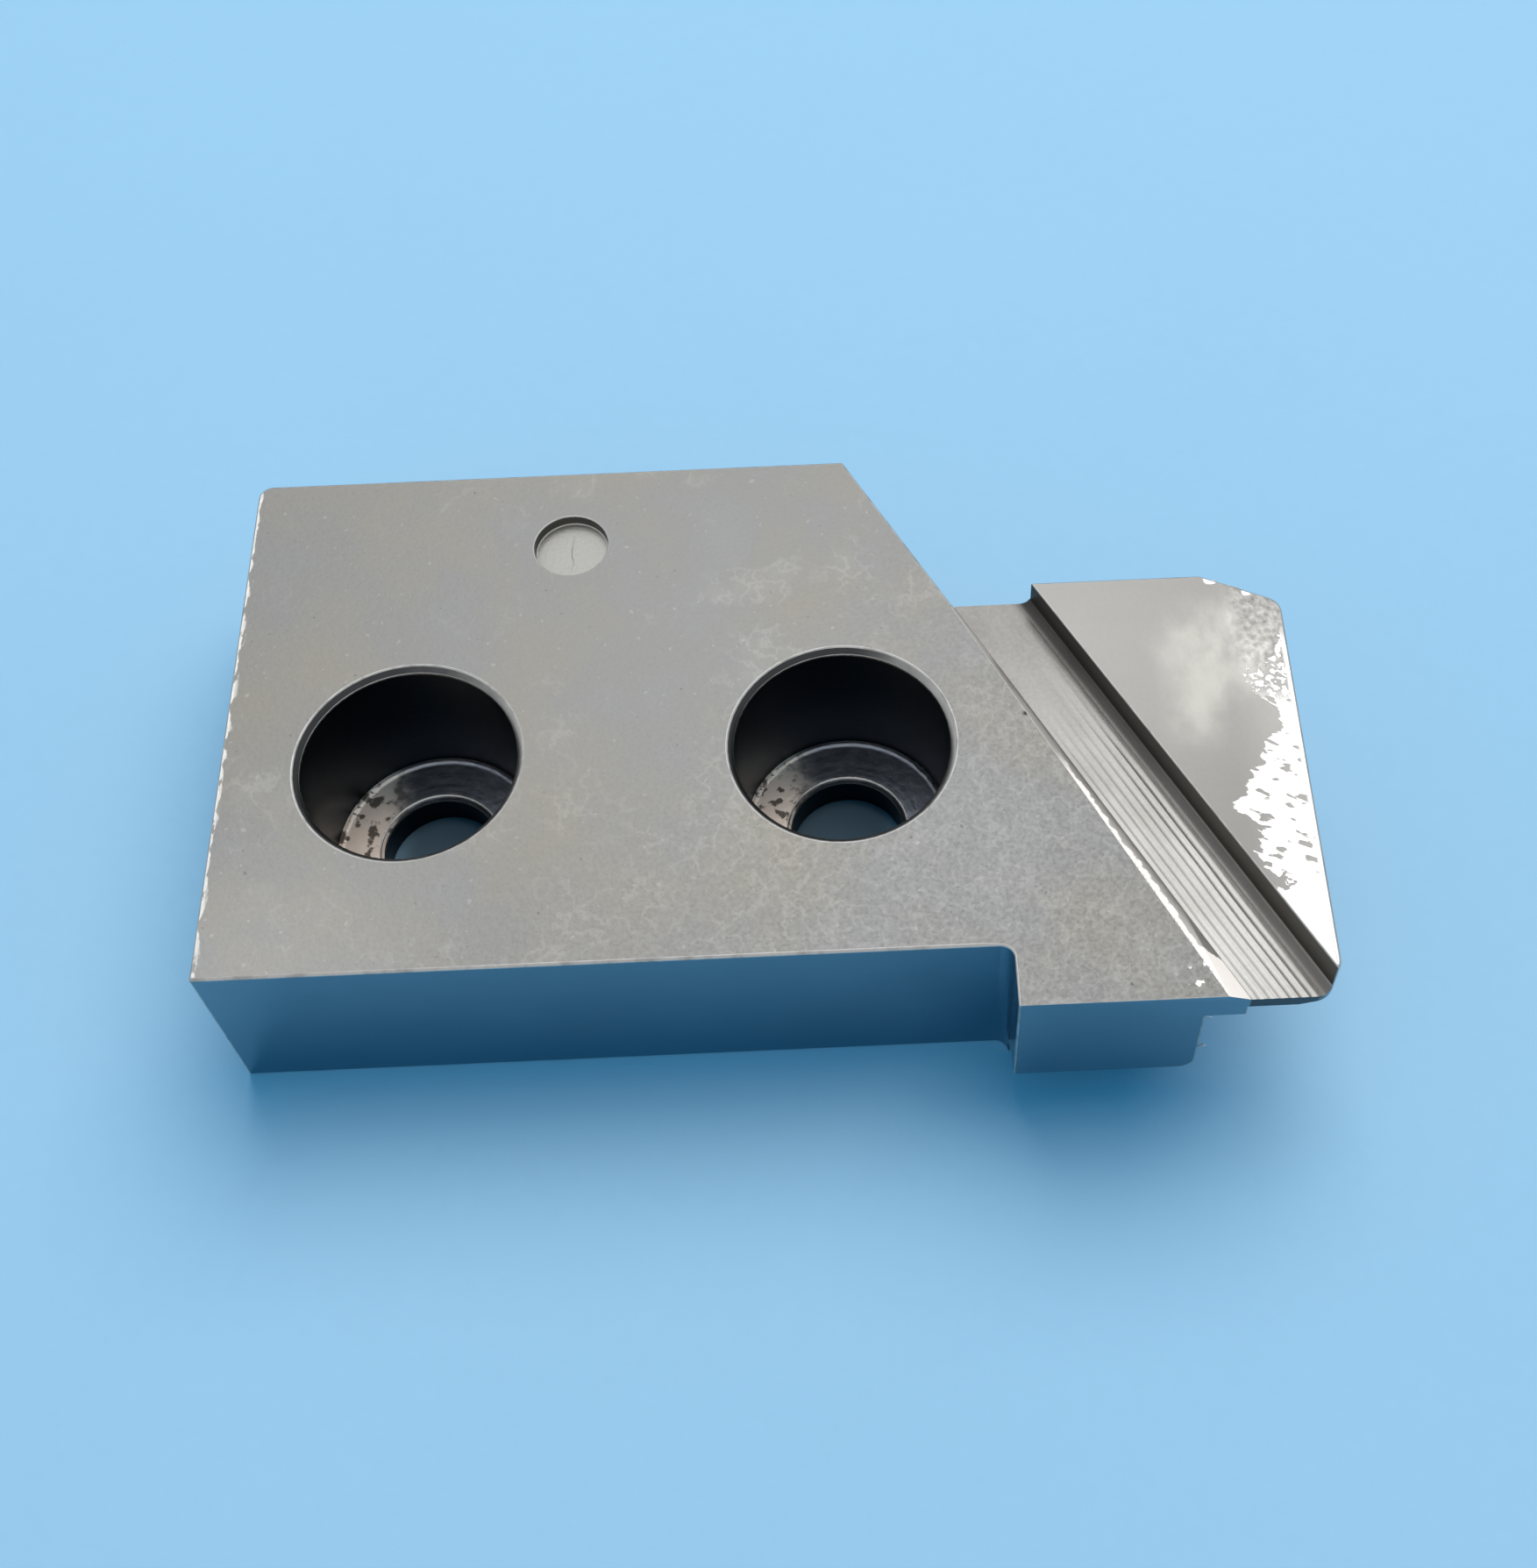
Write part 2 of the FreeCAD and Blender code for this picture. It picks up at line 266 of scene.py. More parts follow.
class ShaderTree(NodeTree):
    """The nodes of one finish."""

    def __init__(self, name: str) -> None:
        """Makes the material and reads the place on the block, in millimetres.

        Args:
            name: the material's name.
        """
        self.material = bpy.data.materials.new(name)
        self.material.use_nodes = True
        super().__init__(self.material.node_tree)
        place = self.node("ShaderNodeTexCoord", None, None, "Object")
        self.place = self.scaled(place, 1 / MM)
        self.x, self.y, self.z = self.parts(self.place)

    def blend(self, mask: Sock, first: "Sock | Colour", second: "Sock | Colour") -> Sock:
        """Mixes two colours.

        Args:
            mask: 0 for the first, 1 for the second.
            first: a colour or a link to one.
            second: a colour or a link to one.

        Returns:
            The mixed colour.
        """
        pair = [value if isinstance(value, Sock) else (*value, 1.0) for value in (first, second)]
        sockets = {"Factor": mask, "A": pair[0], "B": pair[1]}
        return self.node("ShaderNodeMix", {"data_type": "RGBA"}, sockets, "Result")

    def spot(self, place: Place, reach: float) -> Sock:
        """1 at one place seen from above, falling to 0 at that reach from it."""
        return self.x.near(place[0], reach) * self.y.near(place[1], reach)

    def stretched(self, x: float, y: float, z: float) -> Sock:
        """The place on the block, with each direction drawn out or pressed together."""
        return self.times(self.place, self.vector(x, y, z))

    def relief(self, height: Sock) -> Sock:
        """The normal of a relief of that height in millimetres."""
        return self.node("ShaderNodeBump", None, {"Height": height, "Strength": 1.0, "Distance": MM})

    def finish(
        self,
        colour: "Sock | Colour",
        roughness: "Sock | float",
        normal: "Sock | None" = None,
        metallic: "Sock | float" = 1.0,
    ) -> bpy.types.Material:
        """Ends the tree in its shader.

        Args:
            colour: base colour.
            roughness: from 0, polished, to 1.
            normal: the surface's normal, if it has relief.
            metallic: 1 for bare metal.

        Returns:
            The material.
        """
        sockets: "dict[int | str, object]" = {"Roughness": roughness, "Metallic": metallic}
        sockets["Base Color"] = colour if isinstance(colour, Sock) else (*colour, 1.0)
        if normal is not None:
            sockets["Normal"] = normal
        shader = self.node("ShaderNodeBsdfPrincipled", None, sockets)
        self.node("ShaderNodeOutputMaterial", None, {"Surface": shader})
        return self.material


class GeometryTree(NodeTree):
    """A geometry node tree with named inputs, run once on an object."""

    def __init__(self, name: str, **sizes: float) -> None:
        """Makes the tree.

        Args:
            name: the tree's name.
            sizes: its named inputs and their values.
        """
        group = bpy.data.node_groups.new(name, "GeometryNodeTree")
        super().__init__(group)
        group.is_modifier = True
        group.interface.new_socket("Geometry", in_out="OUTPUT", socket_type="NodeSocketGeometry")
        group.interface.new_socket("Geometry", in_out="INPUT", socket_type="NodeSocketGeometry")
        for size in sizes:
            group.interface.new_socket(size, in_out="INPUT", socket_type="NodeSocketFloat")
        self.sizes = sizes
        source = self.tree.nodes.new("NodeGroupInput")
        self.shape = Sock(self, source.outputs[0])
        self.size = {name: Sock(self, self.pick(source.outputs, name)) for name in sizes}

    def end(self, shape: Sock, material: bpy.types.Material, chosen: "Sock | None" = None) -> None:
        """Ends the tree.

        Args:
            shape: the geometry to give out.
            material: its finish.
            chosen: the faces that take it; all if left out.
        """
        real = self.node("GeometryNodeRealizeInstances", None, {0: shape})
        sockets: "dict[int | str, object]" = {"Geometry": real, "Material": material}
        if chosen is not None:
            sockets["Selection"] = chosen
        dressed = self.node("GeometryNodeSetMaterial", None, sockets)
        self.node("NodeGroupOutput", None, {0: dressed})

    def attach(self, piece: bpy.types.Object) -> None:
        """Puts the tree on an object as a modifier, with its inputs set.

        Args:
            piece: the object that takes it.
        """
        modifier = piece.modifiers.new(self.tree.name, "NODES")
        modifier.node_group = self.tree
        for item in self.tree.interface.items_tree:
            if item.in_out == "INPUT" and item.name in self.sizes:
                modifier[item.identifier] = self.sizes[item.name]


def add_object(name: str, mesh: bpy.types.Mesh) -> bpy.types.Object:
    """Adds an object at the origin.

    Args:
        name: the object's name.
        mesh: its mesh, already in place.

    Returns:
        The object.
    """
    made = bpy.data.objects.new(name, mesh)
    bpy.context.scene.collection.objects.link(made)
    return made


def settle(piece: bpy.types.Object) -> None:
    """Turns what an object's modifiers make into its plain mesh, and removes them.

    Args:
        piece: the object, which keeps its name and place.
    """
    graph = bpy.context.evaluated_depsgraph_get()
    plain = bpy.data.meshes.new_from_object(piece.evaluated_get(graph), depsgraph=graph)
    plain.name = piece.name
    piece.modifiers.clear()
    piece.data = plain


def ride_root(piece: bpy.types.Object) -> None:
    """Fixes a piece to the block's body."""
    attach(piece, "root")


# ---------------------------------------------------------------- layout


@dataclass(frozen=True)
class Slant:
    """The line, seen from above, that the slanted side, the shelf and the blade's wall follow.

    Attributes:
        angle: against the front face, in radians.
        start: where it crosses the line of the screw holes, in millimetres.
    """

    angle: float = math.radians(61.2)
    start: float = 29.6

    def across(self, x: "Sock | float", y: "Sock | float") -> "Sock | float":
        """How far a place is past the line, square to it, all in millimetres."""
        return (x - self.start) * math.sin(self.angle) + y * math.cos(self.angle)

    def along(self, x: "Sock | float", y: "Sock | float") -> "Sock | float":
        """How far a place is along the line, towards the front, all in millimetres."""
        return (x - self.start) * math.cos(self.angle) - y * math.sin(self.angle)


@dataclass(frozen=True)
class Layout:
    """Places on the block that several parts share.

    Attributes:
        low: the lowest corner of the solid's box.
        high: its highest corner.
    """

    low: Vector
    high: Vector
    body_top: float = 10.0 * MM
    slant: Slant = Slant()
    shelf_width: float = 3.65 * MM
    shelf_drop: float = 0.40 * MM
    shelf_back_drop: float = 0.05 * MM
    shoulder_width: float = 1.0 * MM
    plate_back: float = 7.35 * MM
    corner_length: float = 3.6 * MM
    corner_depth: float = 1.65 * MM
    nose_end: float = 35.33 * MM
    hole_spacing: float = 20.0 * MM
    counterbore_radius: float = 5.0 * MM
    rim_chamfer: float = 0.3 * MM
    seat_height: float = 1.9 * MM
    dimple: Vector = field(default_factory=lambda: Vector((7.1, 12.0, 9.4)) * MM)
    dimple_radius: float = 1.8 * MM

    @classmethod
    def from_frame(cls) -> "Layout":
        """Reads the block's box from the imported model."""
        low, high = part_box("jaw_block")
        return cls(Vector(low), Vector(high))

    @property
    def wall_across(self) -> float:
        """How far the blade's wall stands from the slanted side, square to it."""
        return self.shelf_width * math.sin(self.slant.angle)

    def across(self, point: Vector) -> float:
        """How far a point is past the slanted side, square to it."""
        return self.slant.across(point.x / MM, point.y / MM) * MM

    def shelf_height(self, y: float) -> float:
        """The shelf's height at that depth: it climbs towards the back."""
        share = (y - self.low.y) / (self.plate_back - self.low.y)
        return self.body_top - self.shelf_drop + share * (self.shelf_drop - self.shelf_back_drop)

    def shoulder(self, y: float) -> Vector:
        """Finds where the top face breaks down to the shelf.

        Args:
            y: the depth on the block.

        Returns:
            The point at that depth.
        """
        slant_x = self.slant.start * MM - y / math.tan(self.slant.angle)
        share = (self.body_top - self.shelf_height(y)) / self.shelf_drop
        return Vector((slant_x - share * self.shoulder_width, y, self.body_top))

    def hole_distance(self, point: Vector) -> float:
        """How far a point is from the nearer screw hole's axis."""
        half = self.hole_spacing / 2
        return math.hypot(abs(point.x - half) - half, point.y)


# ---------------------------------------------------------------- finishes


@dataclass(frozen=True)
class Finish:
    """A bare metal finish; each kind adds its own marks."""

    name: str
    colour: Colour
    roughness: float

    def material(self) -> bpy.types.Material:
        """Makes the material."""
        tree = ShaderTree(self.name)
        return self.dress(tree)

    def dress(self, tree: ShaderTree) -> bpy.types.Material:
        """Adds the marks of this finish.

        Args:
            tree: the finish's tree.

        Returns:
            The material.
        """
        return tree.finish(self.colour, self.roughness)


@dataclass(frozen=True)
class Blasted(Finish):
    """Matt top face: fine grain, coarser towards the nose, with clouds and rubbed spots.

    Attributes:
        warm: colour of the clouds.
        pale: colour of the pale patches.
        bare: colour where the finish is rubbed through.
        left: the left end face.
        light: the middle of a painted pool of light on the front left corner.
        pit: the one deep pit, whose shade is painted as a dark spot.
        rub: the middle of the flecks by the shoulder.
    """

    warm: Colour = (0.375, 0.360, 0.325)
    pale: Colour = (0.41, 0.405, 0.385)
    bare: Colour = (0.88, 0.88, 0.85)
    left: float = -8.65
    light: Place = (-7.0, -12.0)
    pit: Place = (28.55, 1.1)
    rub: Place = (35.1, -12.7)

    def dress(self, tree: ShaderTree) -> bpy.types.Material:
        """Adds the marks of this finish.

        Args:
            tree: the finish's tree.

        Returns:
            The material.
        """
        clouds = tree.noise(tree.place, 0.16, 3.0, 3.0)
        tint = tree.noise(tree.place, 0.3, 8.0, 2.0)
        grain = tree.noise(tree.place, 5.5, 1.0, 3.0)
        pits = tree.noise(tree.place, 2.6, 5.0, 1.0)
        coarse = (tree.x - tree.y).rise(2.0, 38.0)
        colour = tree.blend(clouds.rise(0.35, 0.68), self.colour, self.warm)
        colour = tree.blend(tint.rise(0.55, 0.8) * 0.5, colour, self.pale)
        # painted light: the front left corner of the top is painted lighter, as if more light fell there
        colour = tree.scaled(colour, 1.0 + 0.28 * tree.spot(self.light, 13.0))
        worked = (tint + coarse * 0.35).rise(0.50, 0.70)
        scribble = abs(tree.noise(tree.place, 0.8, 11.0, 5.0) - 0.5).rise(0.04, 0.0) * worked * 0.14
        speckle = (grain - 0.5) * (0.30 + 0.80 * coarse) + scribble
        dots = pits.rise(0.68, 0.74) * 0.22 - pits.rise(0.29, 0.23) * 0.28
        colour = tree.scaled(colour, 1.0 + speckle + dots)
        # painted shade: a near black spot stands in for the shadow inside the one deep pit, which the mesh
        # doesn't have
        colour = tree.scaled(colour, 1.0 - 0.9 * tree.spot(self.pit, 0.22))
        rubbed = self.rubbed(tree).most(self.flecks(tree))
        colour = tree.blend(rubbed, colour, self.bare)
        roughness = self.roughness + (clouds - 0.5) * 0.12 + (grain - 0.5) * 0.15 - rubbed * 0.2
        height = grain * (0.012 + 0.014 * coarse) + pits * 0.006
        return tree.finish(colour, roughness, tree.relief(height))

    def rubbed(self, tree: ShaderTree) -> Sock:
        """Bright flecks along the left edge, where the finish is rubbed through.

        Args:
            tree: the finish's tree.

        Returns:
            1 where they are.
        """
        flecks = tree.noise(tree.stretched(2.2, 0.7, 1.0), 1.5, 2.0, 4.0)
        edge = (tree.x - self.left).rise(0.45, 0.08)
        return (flecks + edge * 0.20).rise(0.62, 0.68) * edge

    def flecks(self, tree: ShaderTree) -> Sock:
        """Bright flecks beside the front end of the rubbed shoulder.

        Args:
            tree: the finish's tree.

        Returns:
            1 where they are.
        """
        crumbs = tree.noise(tree.place, 2.6, 6.0, 3.0)
        return crumbs.rise(0.58, 0.62) * tree.spot(self.rub, 1.1).rise(0.15, 0.5)


@dataclass(frozen=True)
class Ground(Finish):
    """Smooth ground side: faint lines along the block and soft clouds, with painted shade on the plate's
    front face under the shelf.

    Attributes:
        strip: where the painted shade on the plate's front face begins.
        front: that face.
    """

    strip: float = 37.13
    front: float = -13.7

    def dress(self, tree: ShaderTree) -> bpy.types.Material:
        """Adds the marks of this finish.

        Args:
            tree: the finish's tree.

        Returns:
            The material.
        """
        lines = tree.noise(tree.stretched(0.10, 0.10, 6.0), 2.0, 4.0, 2.0)
        clouds = tree.noise(tree.place, 0.25, 6.0, 3.0)
        grain = tree.noise(tree.place, 7.0, 2.0, 2.0)
        # painted shade: the plate's front face is darkened past the strip, standing in for the shadow under
        # the overhang
        shade = tree.x.rise(self.strip - 0.04, self.strip + 0.04) * tree.y.rise(self.front + 0.2, self.front)
        light = (0.87 + clouds * 0.16 + lines * 0.10) * (1.0 - shade * 0.8)
        colour = tree.scaled(self.colour, light)
        roughness = self.roughness + (clouds - 0.5) * 0.12 + (lines - 0.5) * 0.08
        height = lines * 0.0028 + grain * 0.0012
        return tree.finish(colour, roughness, tree.relief(height))


@dataclass(frozen=True)
class Milled(Finish):
    """Milled shelf: streaks in the cutter's direction over the ridges in the mesh, painted lighter towards
    the front, with painted shade along the foot of the blade's wall.
    """

    slant: Slant = Slant()
    tarnish: Colour = (0.36, 0.345, 0.315)

    def dress(self, tree: ShaderTree) -> bpy.types.Material:
        """Adds the marks of this finish.

        Args:
            tree: the finish's tree.

        Returns:
            The material.
        """
        across, along = self.slant.across(tree.x, tree.y), self.slant.along(tree.x, tree.y)
        streaks = tree.noise(tree.vector(across * 5.0, along * 0.22, 0.0), 1.0, 7.0, 3.0)
        clouds = tree.noise(tree.vector(across * 0.6, along * 0.25, 0.0), 1.0, 9.0, 2.0)
        grain = tree.noise(tree.place, 6.0, 3.0, 2.0)
        front = along.rise(-8.0, 16.0)
        # painted shade: a darker band on the shelf along the foot of the blade's wall, where shade falls
        wall_foot_shade = across.rise(2.30, 3.00) * across.rise(3.22, 3.10) * 0.72
        colour = tree.blend(clouds.rise(0.4, 0.7) * 0.45, self.colour, self.tarnish)
        # painted light: the shelf is painted lighter towards the front, where it catches more light
        light = 0.53 + 0.74 * front + (streaks - 0.5) * (0.12 + 0.50 * front) + (grain - 0.5) * 0.2
        colour = tree.scaled(colour, light * (1.0 - wall_foot_shade))
        roughness = self.roughness + (streaks - 0.5) * 0.2
        height = streaks * 0.008 + grain * 0.003
        return tree.finish(colour, roughness, tree.relief(height))


@dataclass(frozen=True)
class Shoulder(Finish):
    """The break from the top face to the shelf, rubbed bright along its upper edge, and painted lighter than
    its metal, most towards the front.

    Attributes:
        slant: the line that it follows.
        front: the plate's front edge.
        plate_length: from there to the plate's back edge.
        width: the break's width at the front, along the front edge.
        back_share: what is left of that width at the back.
        bright: colour of the rubbed strip.
    """

    slant: Slant = Slant()
    front: float = -13.7
    plate_length: float = 21.05
    width: float = 1.0
    back_share: float = 0.125
    bright: Colour = (1.0, 1.0, 0.98)

    def dress(self, tree: ShaderTree) -> bpy.types.Material:
        """Adds the marks of this finish.

        Args:
            tree: the finish's tree.

        Returns:
            The material.
        """
        across, along = self.slant.across(tree.x, tree.y), self.slant.along(tree.x, tree.y)
        share = 1.0 - (tree.y - self.front) * ((1.0 - self.back_share) / self.plate_length)
        down = across + share * (self.width * math.sin(self.slant.angle))
        ragged = tree.noise(tree.vector(across * 1.2, along, 0.0), 1.6, 3.0, 4.0)
        streaks = tree.noise(tree.vector(across * 5.0, along * 0.25, 0.0), 1.0, 7.0, 3.0)
        front = along.rise(-4.0, 16.0)
        strip = 0.15 + 0.15 * front + 0.70 * along.rise(12.3, 14.0) - down + (ragged - 0.5) * 0.7
        rubbed = strip.rise(-0.03, 0.03) * along.rise(0.5, 3.0)
        # painted light: the break is painted lighter than its metal, and more so towards the front, to stand
        # in for the light that the shelf catches
        light = 1.05 + 0.35 * front + (streaks - 0.5) * 0.5
        colour = tree.blend(rubbed, tree.scaled(self.colour, light), self.bright)
        return tree.finish(colour, self.roughness, tree.relief(ragged * 0.02), 1.0 - rubbed * 0.85)


@dataclass(frozen=True)
class Wall(Finish):
    """Dark side-milled wall, with fine streaks along it; where it covers the round mark's wall, its dark
    colour is painted shade.
    """

    def dress(self, tree: ShaderTree) -> bpy.types.Material:
        """Adds the marks of this finish.

        Args:
            tree: the finish's tree.

        Returns:
            The material.
        """
        streaks = tree.noise(tree.stretched(0.3, 0.3, 5.0), 2.0, 5.0, 2.0)
        colour = tree.scaled(self.colour, 0.75 + streaks * 0.5)
        return tree.finish(colour, self.roughness, tree.relief(streaks * 0.003))


@dataclass(frozen=True)
class Lapped(Finish):
    """Smooth blade top, painted lighter towards the back and the outer edge, and rubbed to bare bright metal
    along that edge, whose near white colour is partly a painted highlight.

    Attributes:
        outer: the outer edge.
        bright: colour of the bare metal, painted near white as a highlight.
        frosted: colour of the haze.
        haze: the middle of the haze.
        wisp: the middle of its smaller part, nearer the front.
        nick: the larger chip on the cut corner.
        speck: the smaller one.
    """

    outer: float = 40.78
    bright: Colour = (0.97, 0.97, 0.95)
    frosted: Colour = (0.47, 0.46, 0.425)
    haze: Place = (37.6, 3.0)
    wisp: Place = (36.2, -0.6)
    nick: Place = (37.66, 7.15)
    speck: Place = (39.25, 6.30)

    def dress(self, tree: ShaderTree) -> bpy.types.Material:
        """Adds the marks of this finish.

        Args:
            tree: the finish's tree.

        Returns:
            The material.
        """
        clouds = tree.noise(tree.place, 0.20, 2.0, 3.0)
        wisps = tree.noise(tree.stretched(1.0, 0.6, 1.0), 0.7, 3.0, 4.0)
        grain = tree.noise(tree.place, 6.0, 1.0, 2.0)
        mottle = tree.noise(tree.place, 3.2, 9.0, 4.0)
        inward = self.outer - tree.x
        worn = self.worn(tree, inward)
        haze = tree.spot(self.haze, 4.4) * 1.2 + tree.spot(self.wisp, 2.8) * 0.6
        frost = (haze * (wisps * 2.2 - 0.40) + clouds * 0.8 - 0.40).rise(0.0, 0.9)
        colour = tree.blend(frost, self.colour, self.frosted)
        speckled = tree.y.rise(1.0, 3.0) * inward.rise(2.9, 1.6)
        # painted light: the blade top is painted lighter towards the back and towards its outer edge
        light = 0.86 + 0.16 * tree.y.rise(-8.0, 4.0) + 0.30 * inward.rise(3.5, 0.5)
        light = light + (grain - 0.5) * 0.08 + (mottle - 0.52) * 2.2 * speckled
        # the rubbed patches are real wear, and their near white colour is also a painted highlight
        colour = tree.blend(worn, tree.scaled(colour, light), self.bright)
        roughness = self.roughness + (clouds - 0.5) * 0.10 - worn * 0.12
        height = grain * 0.003 + worn * 0.012 + mottle * speckled * 0.02
        return tree.finish(colour, roughness, tree.relief(height), 1.0 - worn * 0.6)

    def worn(self, tree: ShaderTree, inward: Sock) -> Sock:
        """The bright rubbed patches, whose near white colour is partly a painted highlight: ragged strokes,
        widest past the middle and at the tip.

        Args:
            tree: the finish's tree.
            inward: how far in from the outer edge a place is.

        Returns:
            1 where the patches are.
        """
        slanting = tree.vector(tree.x * 0.50 - tree.y * 0.30, tree.y * 1.3 + tree.x * 0.65, 0.0)
        ragged = tree.noise(slanting, 0.50, 4.0, 5.0)
        crumbs = tree.noise(tree.place, 2.4, 6.0, 2.0)
        blots = tree.noise(slanting, 1.5, 8.0, 2.0)
        width = 0.40 + 2.9 * tree.y.near(-5.6, 6.0) + 2.6 * tree.y.rise(-8.0, -11.5)
        width = width + 2.0 * tree.y.near(1.0, 2.6)
        fringe = 2.6 * (crumbs - 0.5) * tree.y.near(-8.7, 1.6)
        body = (width - inward + (ragged - 0.5) * 5.0 + fringe).rise(-0.05, 0.05)
        lace = abs(crumbs - 0.5).rise(0.09, 0.04) * tree.y.rise(-0.5, 1.0)
        dark = blots.rise(0.57, 0.61).most(lace) * tree.y.rise(-9.5, -8.0) * inward.rise(0.15, 0.35)
        chips = tree.spot(self.nick, 0.45).most(tree.spot(self.speck, 0.30)).rise(0.1, 0.2)
        return (body * (1.0 - dark) * tree.y.rise(4.6, 3.0)).most(chips)


@dataclass(frozen=True)
class Bored(Finish):
    """Bored wall with rings left by the boring tool, painted near black as the shade inside the holes."""

    def dress(self, tree: ShaderTree) -> bpy.types.Material:
        """Adds the marks of this finish.

        Args:
            tree: the finish's tree.

        Returns:
            The material.
        """
        rings = tree.noise(tree.stretched(0.15, 0.15, 5.0), 2.5, 3.0, 2.0)
        colour = tree.scaled(self.colour, 0.7 + rings * 0.6)
        return tree.finish(colour, self.roughness, tree.relief(rings * 0.004))


@dataclass(frozen=True)
class Seat(Finish):
    """Counterbore floor: turned rings, dull but for a painted lit side, lighter and less metallic, with
    painted glints on it.

    Attributes:
        spacing: between the two screw holes.
        lit_side_colour: colour of the painted lit side.
        bare: colour of the painted glints.
    """

    spacing: float = 20.0
    lit_side_colour: Colour = (1.0, 0.93, 0.82)
    bare: Colour = (1.0, 0.97, 0.90)

    def dress(self, tree: ShaderTree) -> bpy.types.Material:
        """Adds the marks of this finish.

        Args:
            tree: the finish's tree.

        Returns:
            The material.
        """
        second = tree.x.above(self.spacing / 2)
        aside = tree.x - second * self.spacing
        radius = (aside * aside + tree.y * tree.y) ** 0.5
        rings = tree.noise(tree.vector(radius * 3.0, 0.0, 0.0), 1.0, 2.0, 2.0)
        crumbs = tree.noise(tree.place, 1.6, 5.0, 5.0)
        # painted light: the left front side of each seat, where the light falls, is painted lighter and less
        # metallic, with painted glints; the stains lie on it
        side = (-aside - tree.y * 0.15).rise(0.6, 2.8)
        glint = (crumbs + side * 0.20).rise(0.60, 0.68) * side
        stains = crumbs.rise(0.50, 0.40) * side * 0.8
        colour = tree.blend(side * 0.8, self.colour, self.lit_side_colour)
        colour = tree.scaled(colour, (0.7 + rings * 0.6) * (1.0 - stains))
        colour = tree.blend(glint, colour, self.bare)
        roughness = self.roughness + (crumbs - 0.5) * 0.3
        return tree.finish(colour, roughness, tree.relief(rings * 0.01 + crumbs * 0.04), 1.0 - side * 0.65)


@dataclass(frozen=True)
class Dimple(Finish):
    """Floor of the shallow round mark, with one faint scratch across it."""

    centre: Place = (7.1, 12.0)

    def dress(self, tree: ShaderTree) -> bpy.types.Material:
        """Adds the marks of this finish.

        Args:
            tree: the finish's tree.

        Returns:
            The material.
        """
        grain = tree.noise(tree.place, 5.0, 6.0, 3.0)
        wander = (tree.noise(tree.place, 1.5, 9.0, 2.0) - 0.5) * 0.35
        scratch = (tree.x - self.centre[0] + wander).near(0.0, 0.06)
        scratch = scratch * tree.y.near(self.centre[1] - 0.1, 1.5) * 0.35
        colour = tree.scaled(self.colour, 0.9 + grain * 0.2 - scratch)
        height = grain * 0.012 - scratch * 0.02
        return tree.finish(colour, self.roughness, tree.relief(height))


@dataclass(frozen=True)
class Bright(Finish):
    """Bare bright metal of edges and burrs, broken by dull stretches.

    Attributes:
        dull: colour of the dull stretches.
        cover: how much of it is dull, where 0.5 is about half.
        breaks: how many stretches there are in a millimetre.
    """

    dull: Colour = (0.40, 0.39, 0.37)
    cover: float = 0.5
    breaks: float = 1.1

    def dress(self, tree: ShaderTree) -> bpy.types.Material:
        """Adds the marks of this finish.

        Args:
            tree: the finish's tree.

        Returns:
            The material.
        """
        breaks = tree.noise(tree.place, self.breaks, 7.0, 4.0)
        grain = tree.noise(tree.place, 6.0, 4.0, 2.0)
        shown = breaks.rise(self.cover - 0.12, self.cover + 0.12)
        colour = tree.scaled(tree.blend(shown, self.dull, self.colour), 0.9 + grain * 0.2)
        roughness = self.roughness + (grain - 0.5) * 0.2
        return tree.finish(colour, roughness, tree.relief(grain * 0.006))


@dataclass(frozen=True)
class Rim(Finish):
    """Turned break at a bore's mouth: painted shade behind, painted light towards the right and the front.

    Attributes:
        spacing: between the two screw holes.
        shade: colour of the painted shade behind.
    """

    spacing: float = 20.0
    shade: Colour = (0.06, 0.062, 0.065)

    def dress(self, tree: ShaderTree) -> bpy.types.Material:
        """Adds the marks of this finish.

        Args:
            tree: the finish's tree.

        Returns:
            The material.
        """
        second = tree.x.above(self.spacing / 2)
        aside = tree.x - second * self.spacing
        breaks = tree.noise(tree.place, 0.5, 7.0, 4.0)
        # painted light and shade: the rim is painted dark behind and lit towards the right and the front
        lit = (aside * 0.8 - tree.y * 0.5 + (breaks - 0.5) * 6.0).rise(-3.5, 4.5)
        colour = tree.scaled(tree.blend(lit, self.shade, self.colour), 0.8 + breaks * 0.4)
        return tree.finish(colour, self.roughness, tree.relief(breaks * 0.01))


@dataclass(frozen=True)
class Card(Finish):
    """Pale coloured card that the block lies on, with a painted shadow under the block round the screw holes.

    Attributes:
        middle: the middle of the painted shadow.
        reach: how far it goes from there, along and across the block.
        shadow_depth: how dark the painted shadow is, from 0 to 1.
    """

    middle: Place = (10.0, 0.0)
    reach: Place = (16.0, 7.0)
    shadow_depth: float = 0.75

    def dress(self, tree: ShaderTree) -> bpy.types.Material:
        """Adds the marks of this finish.

        Args:
            tree: the finish's tree.

        Returns:
            The material.
        """
        clouds = tree.noise(tree.place, 0.03, 1.0, 3.0)
        fibres = tree.noise(tree.place, 1.2, 2.0, 3.0)
        # painted shadow: the card is darkened under the block, where it shows through the screw holes
        inside = tree.x.near(self.middle[0], self.reach[0]).rise(0.0, 0.2)
        shadowed = inside * tree.y.near(self.middle[1], self.reach[1]).rise(0.0, 0.3)
        light = 0.97 + clouds * 0.04 + (fibres - 0.5) * 0.04
        colour = tree.scaled(self.colour, light * (1.0 - shadowed * self.shadow_depth))
        return tree.finish(colour, self.roughness, tree.relief(fibres * 0.01), 0.0)


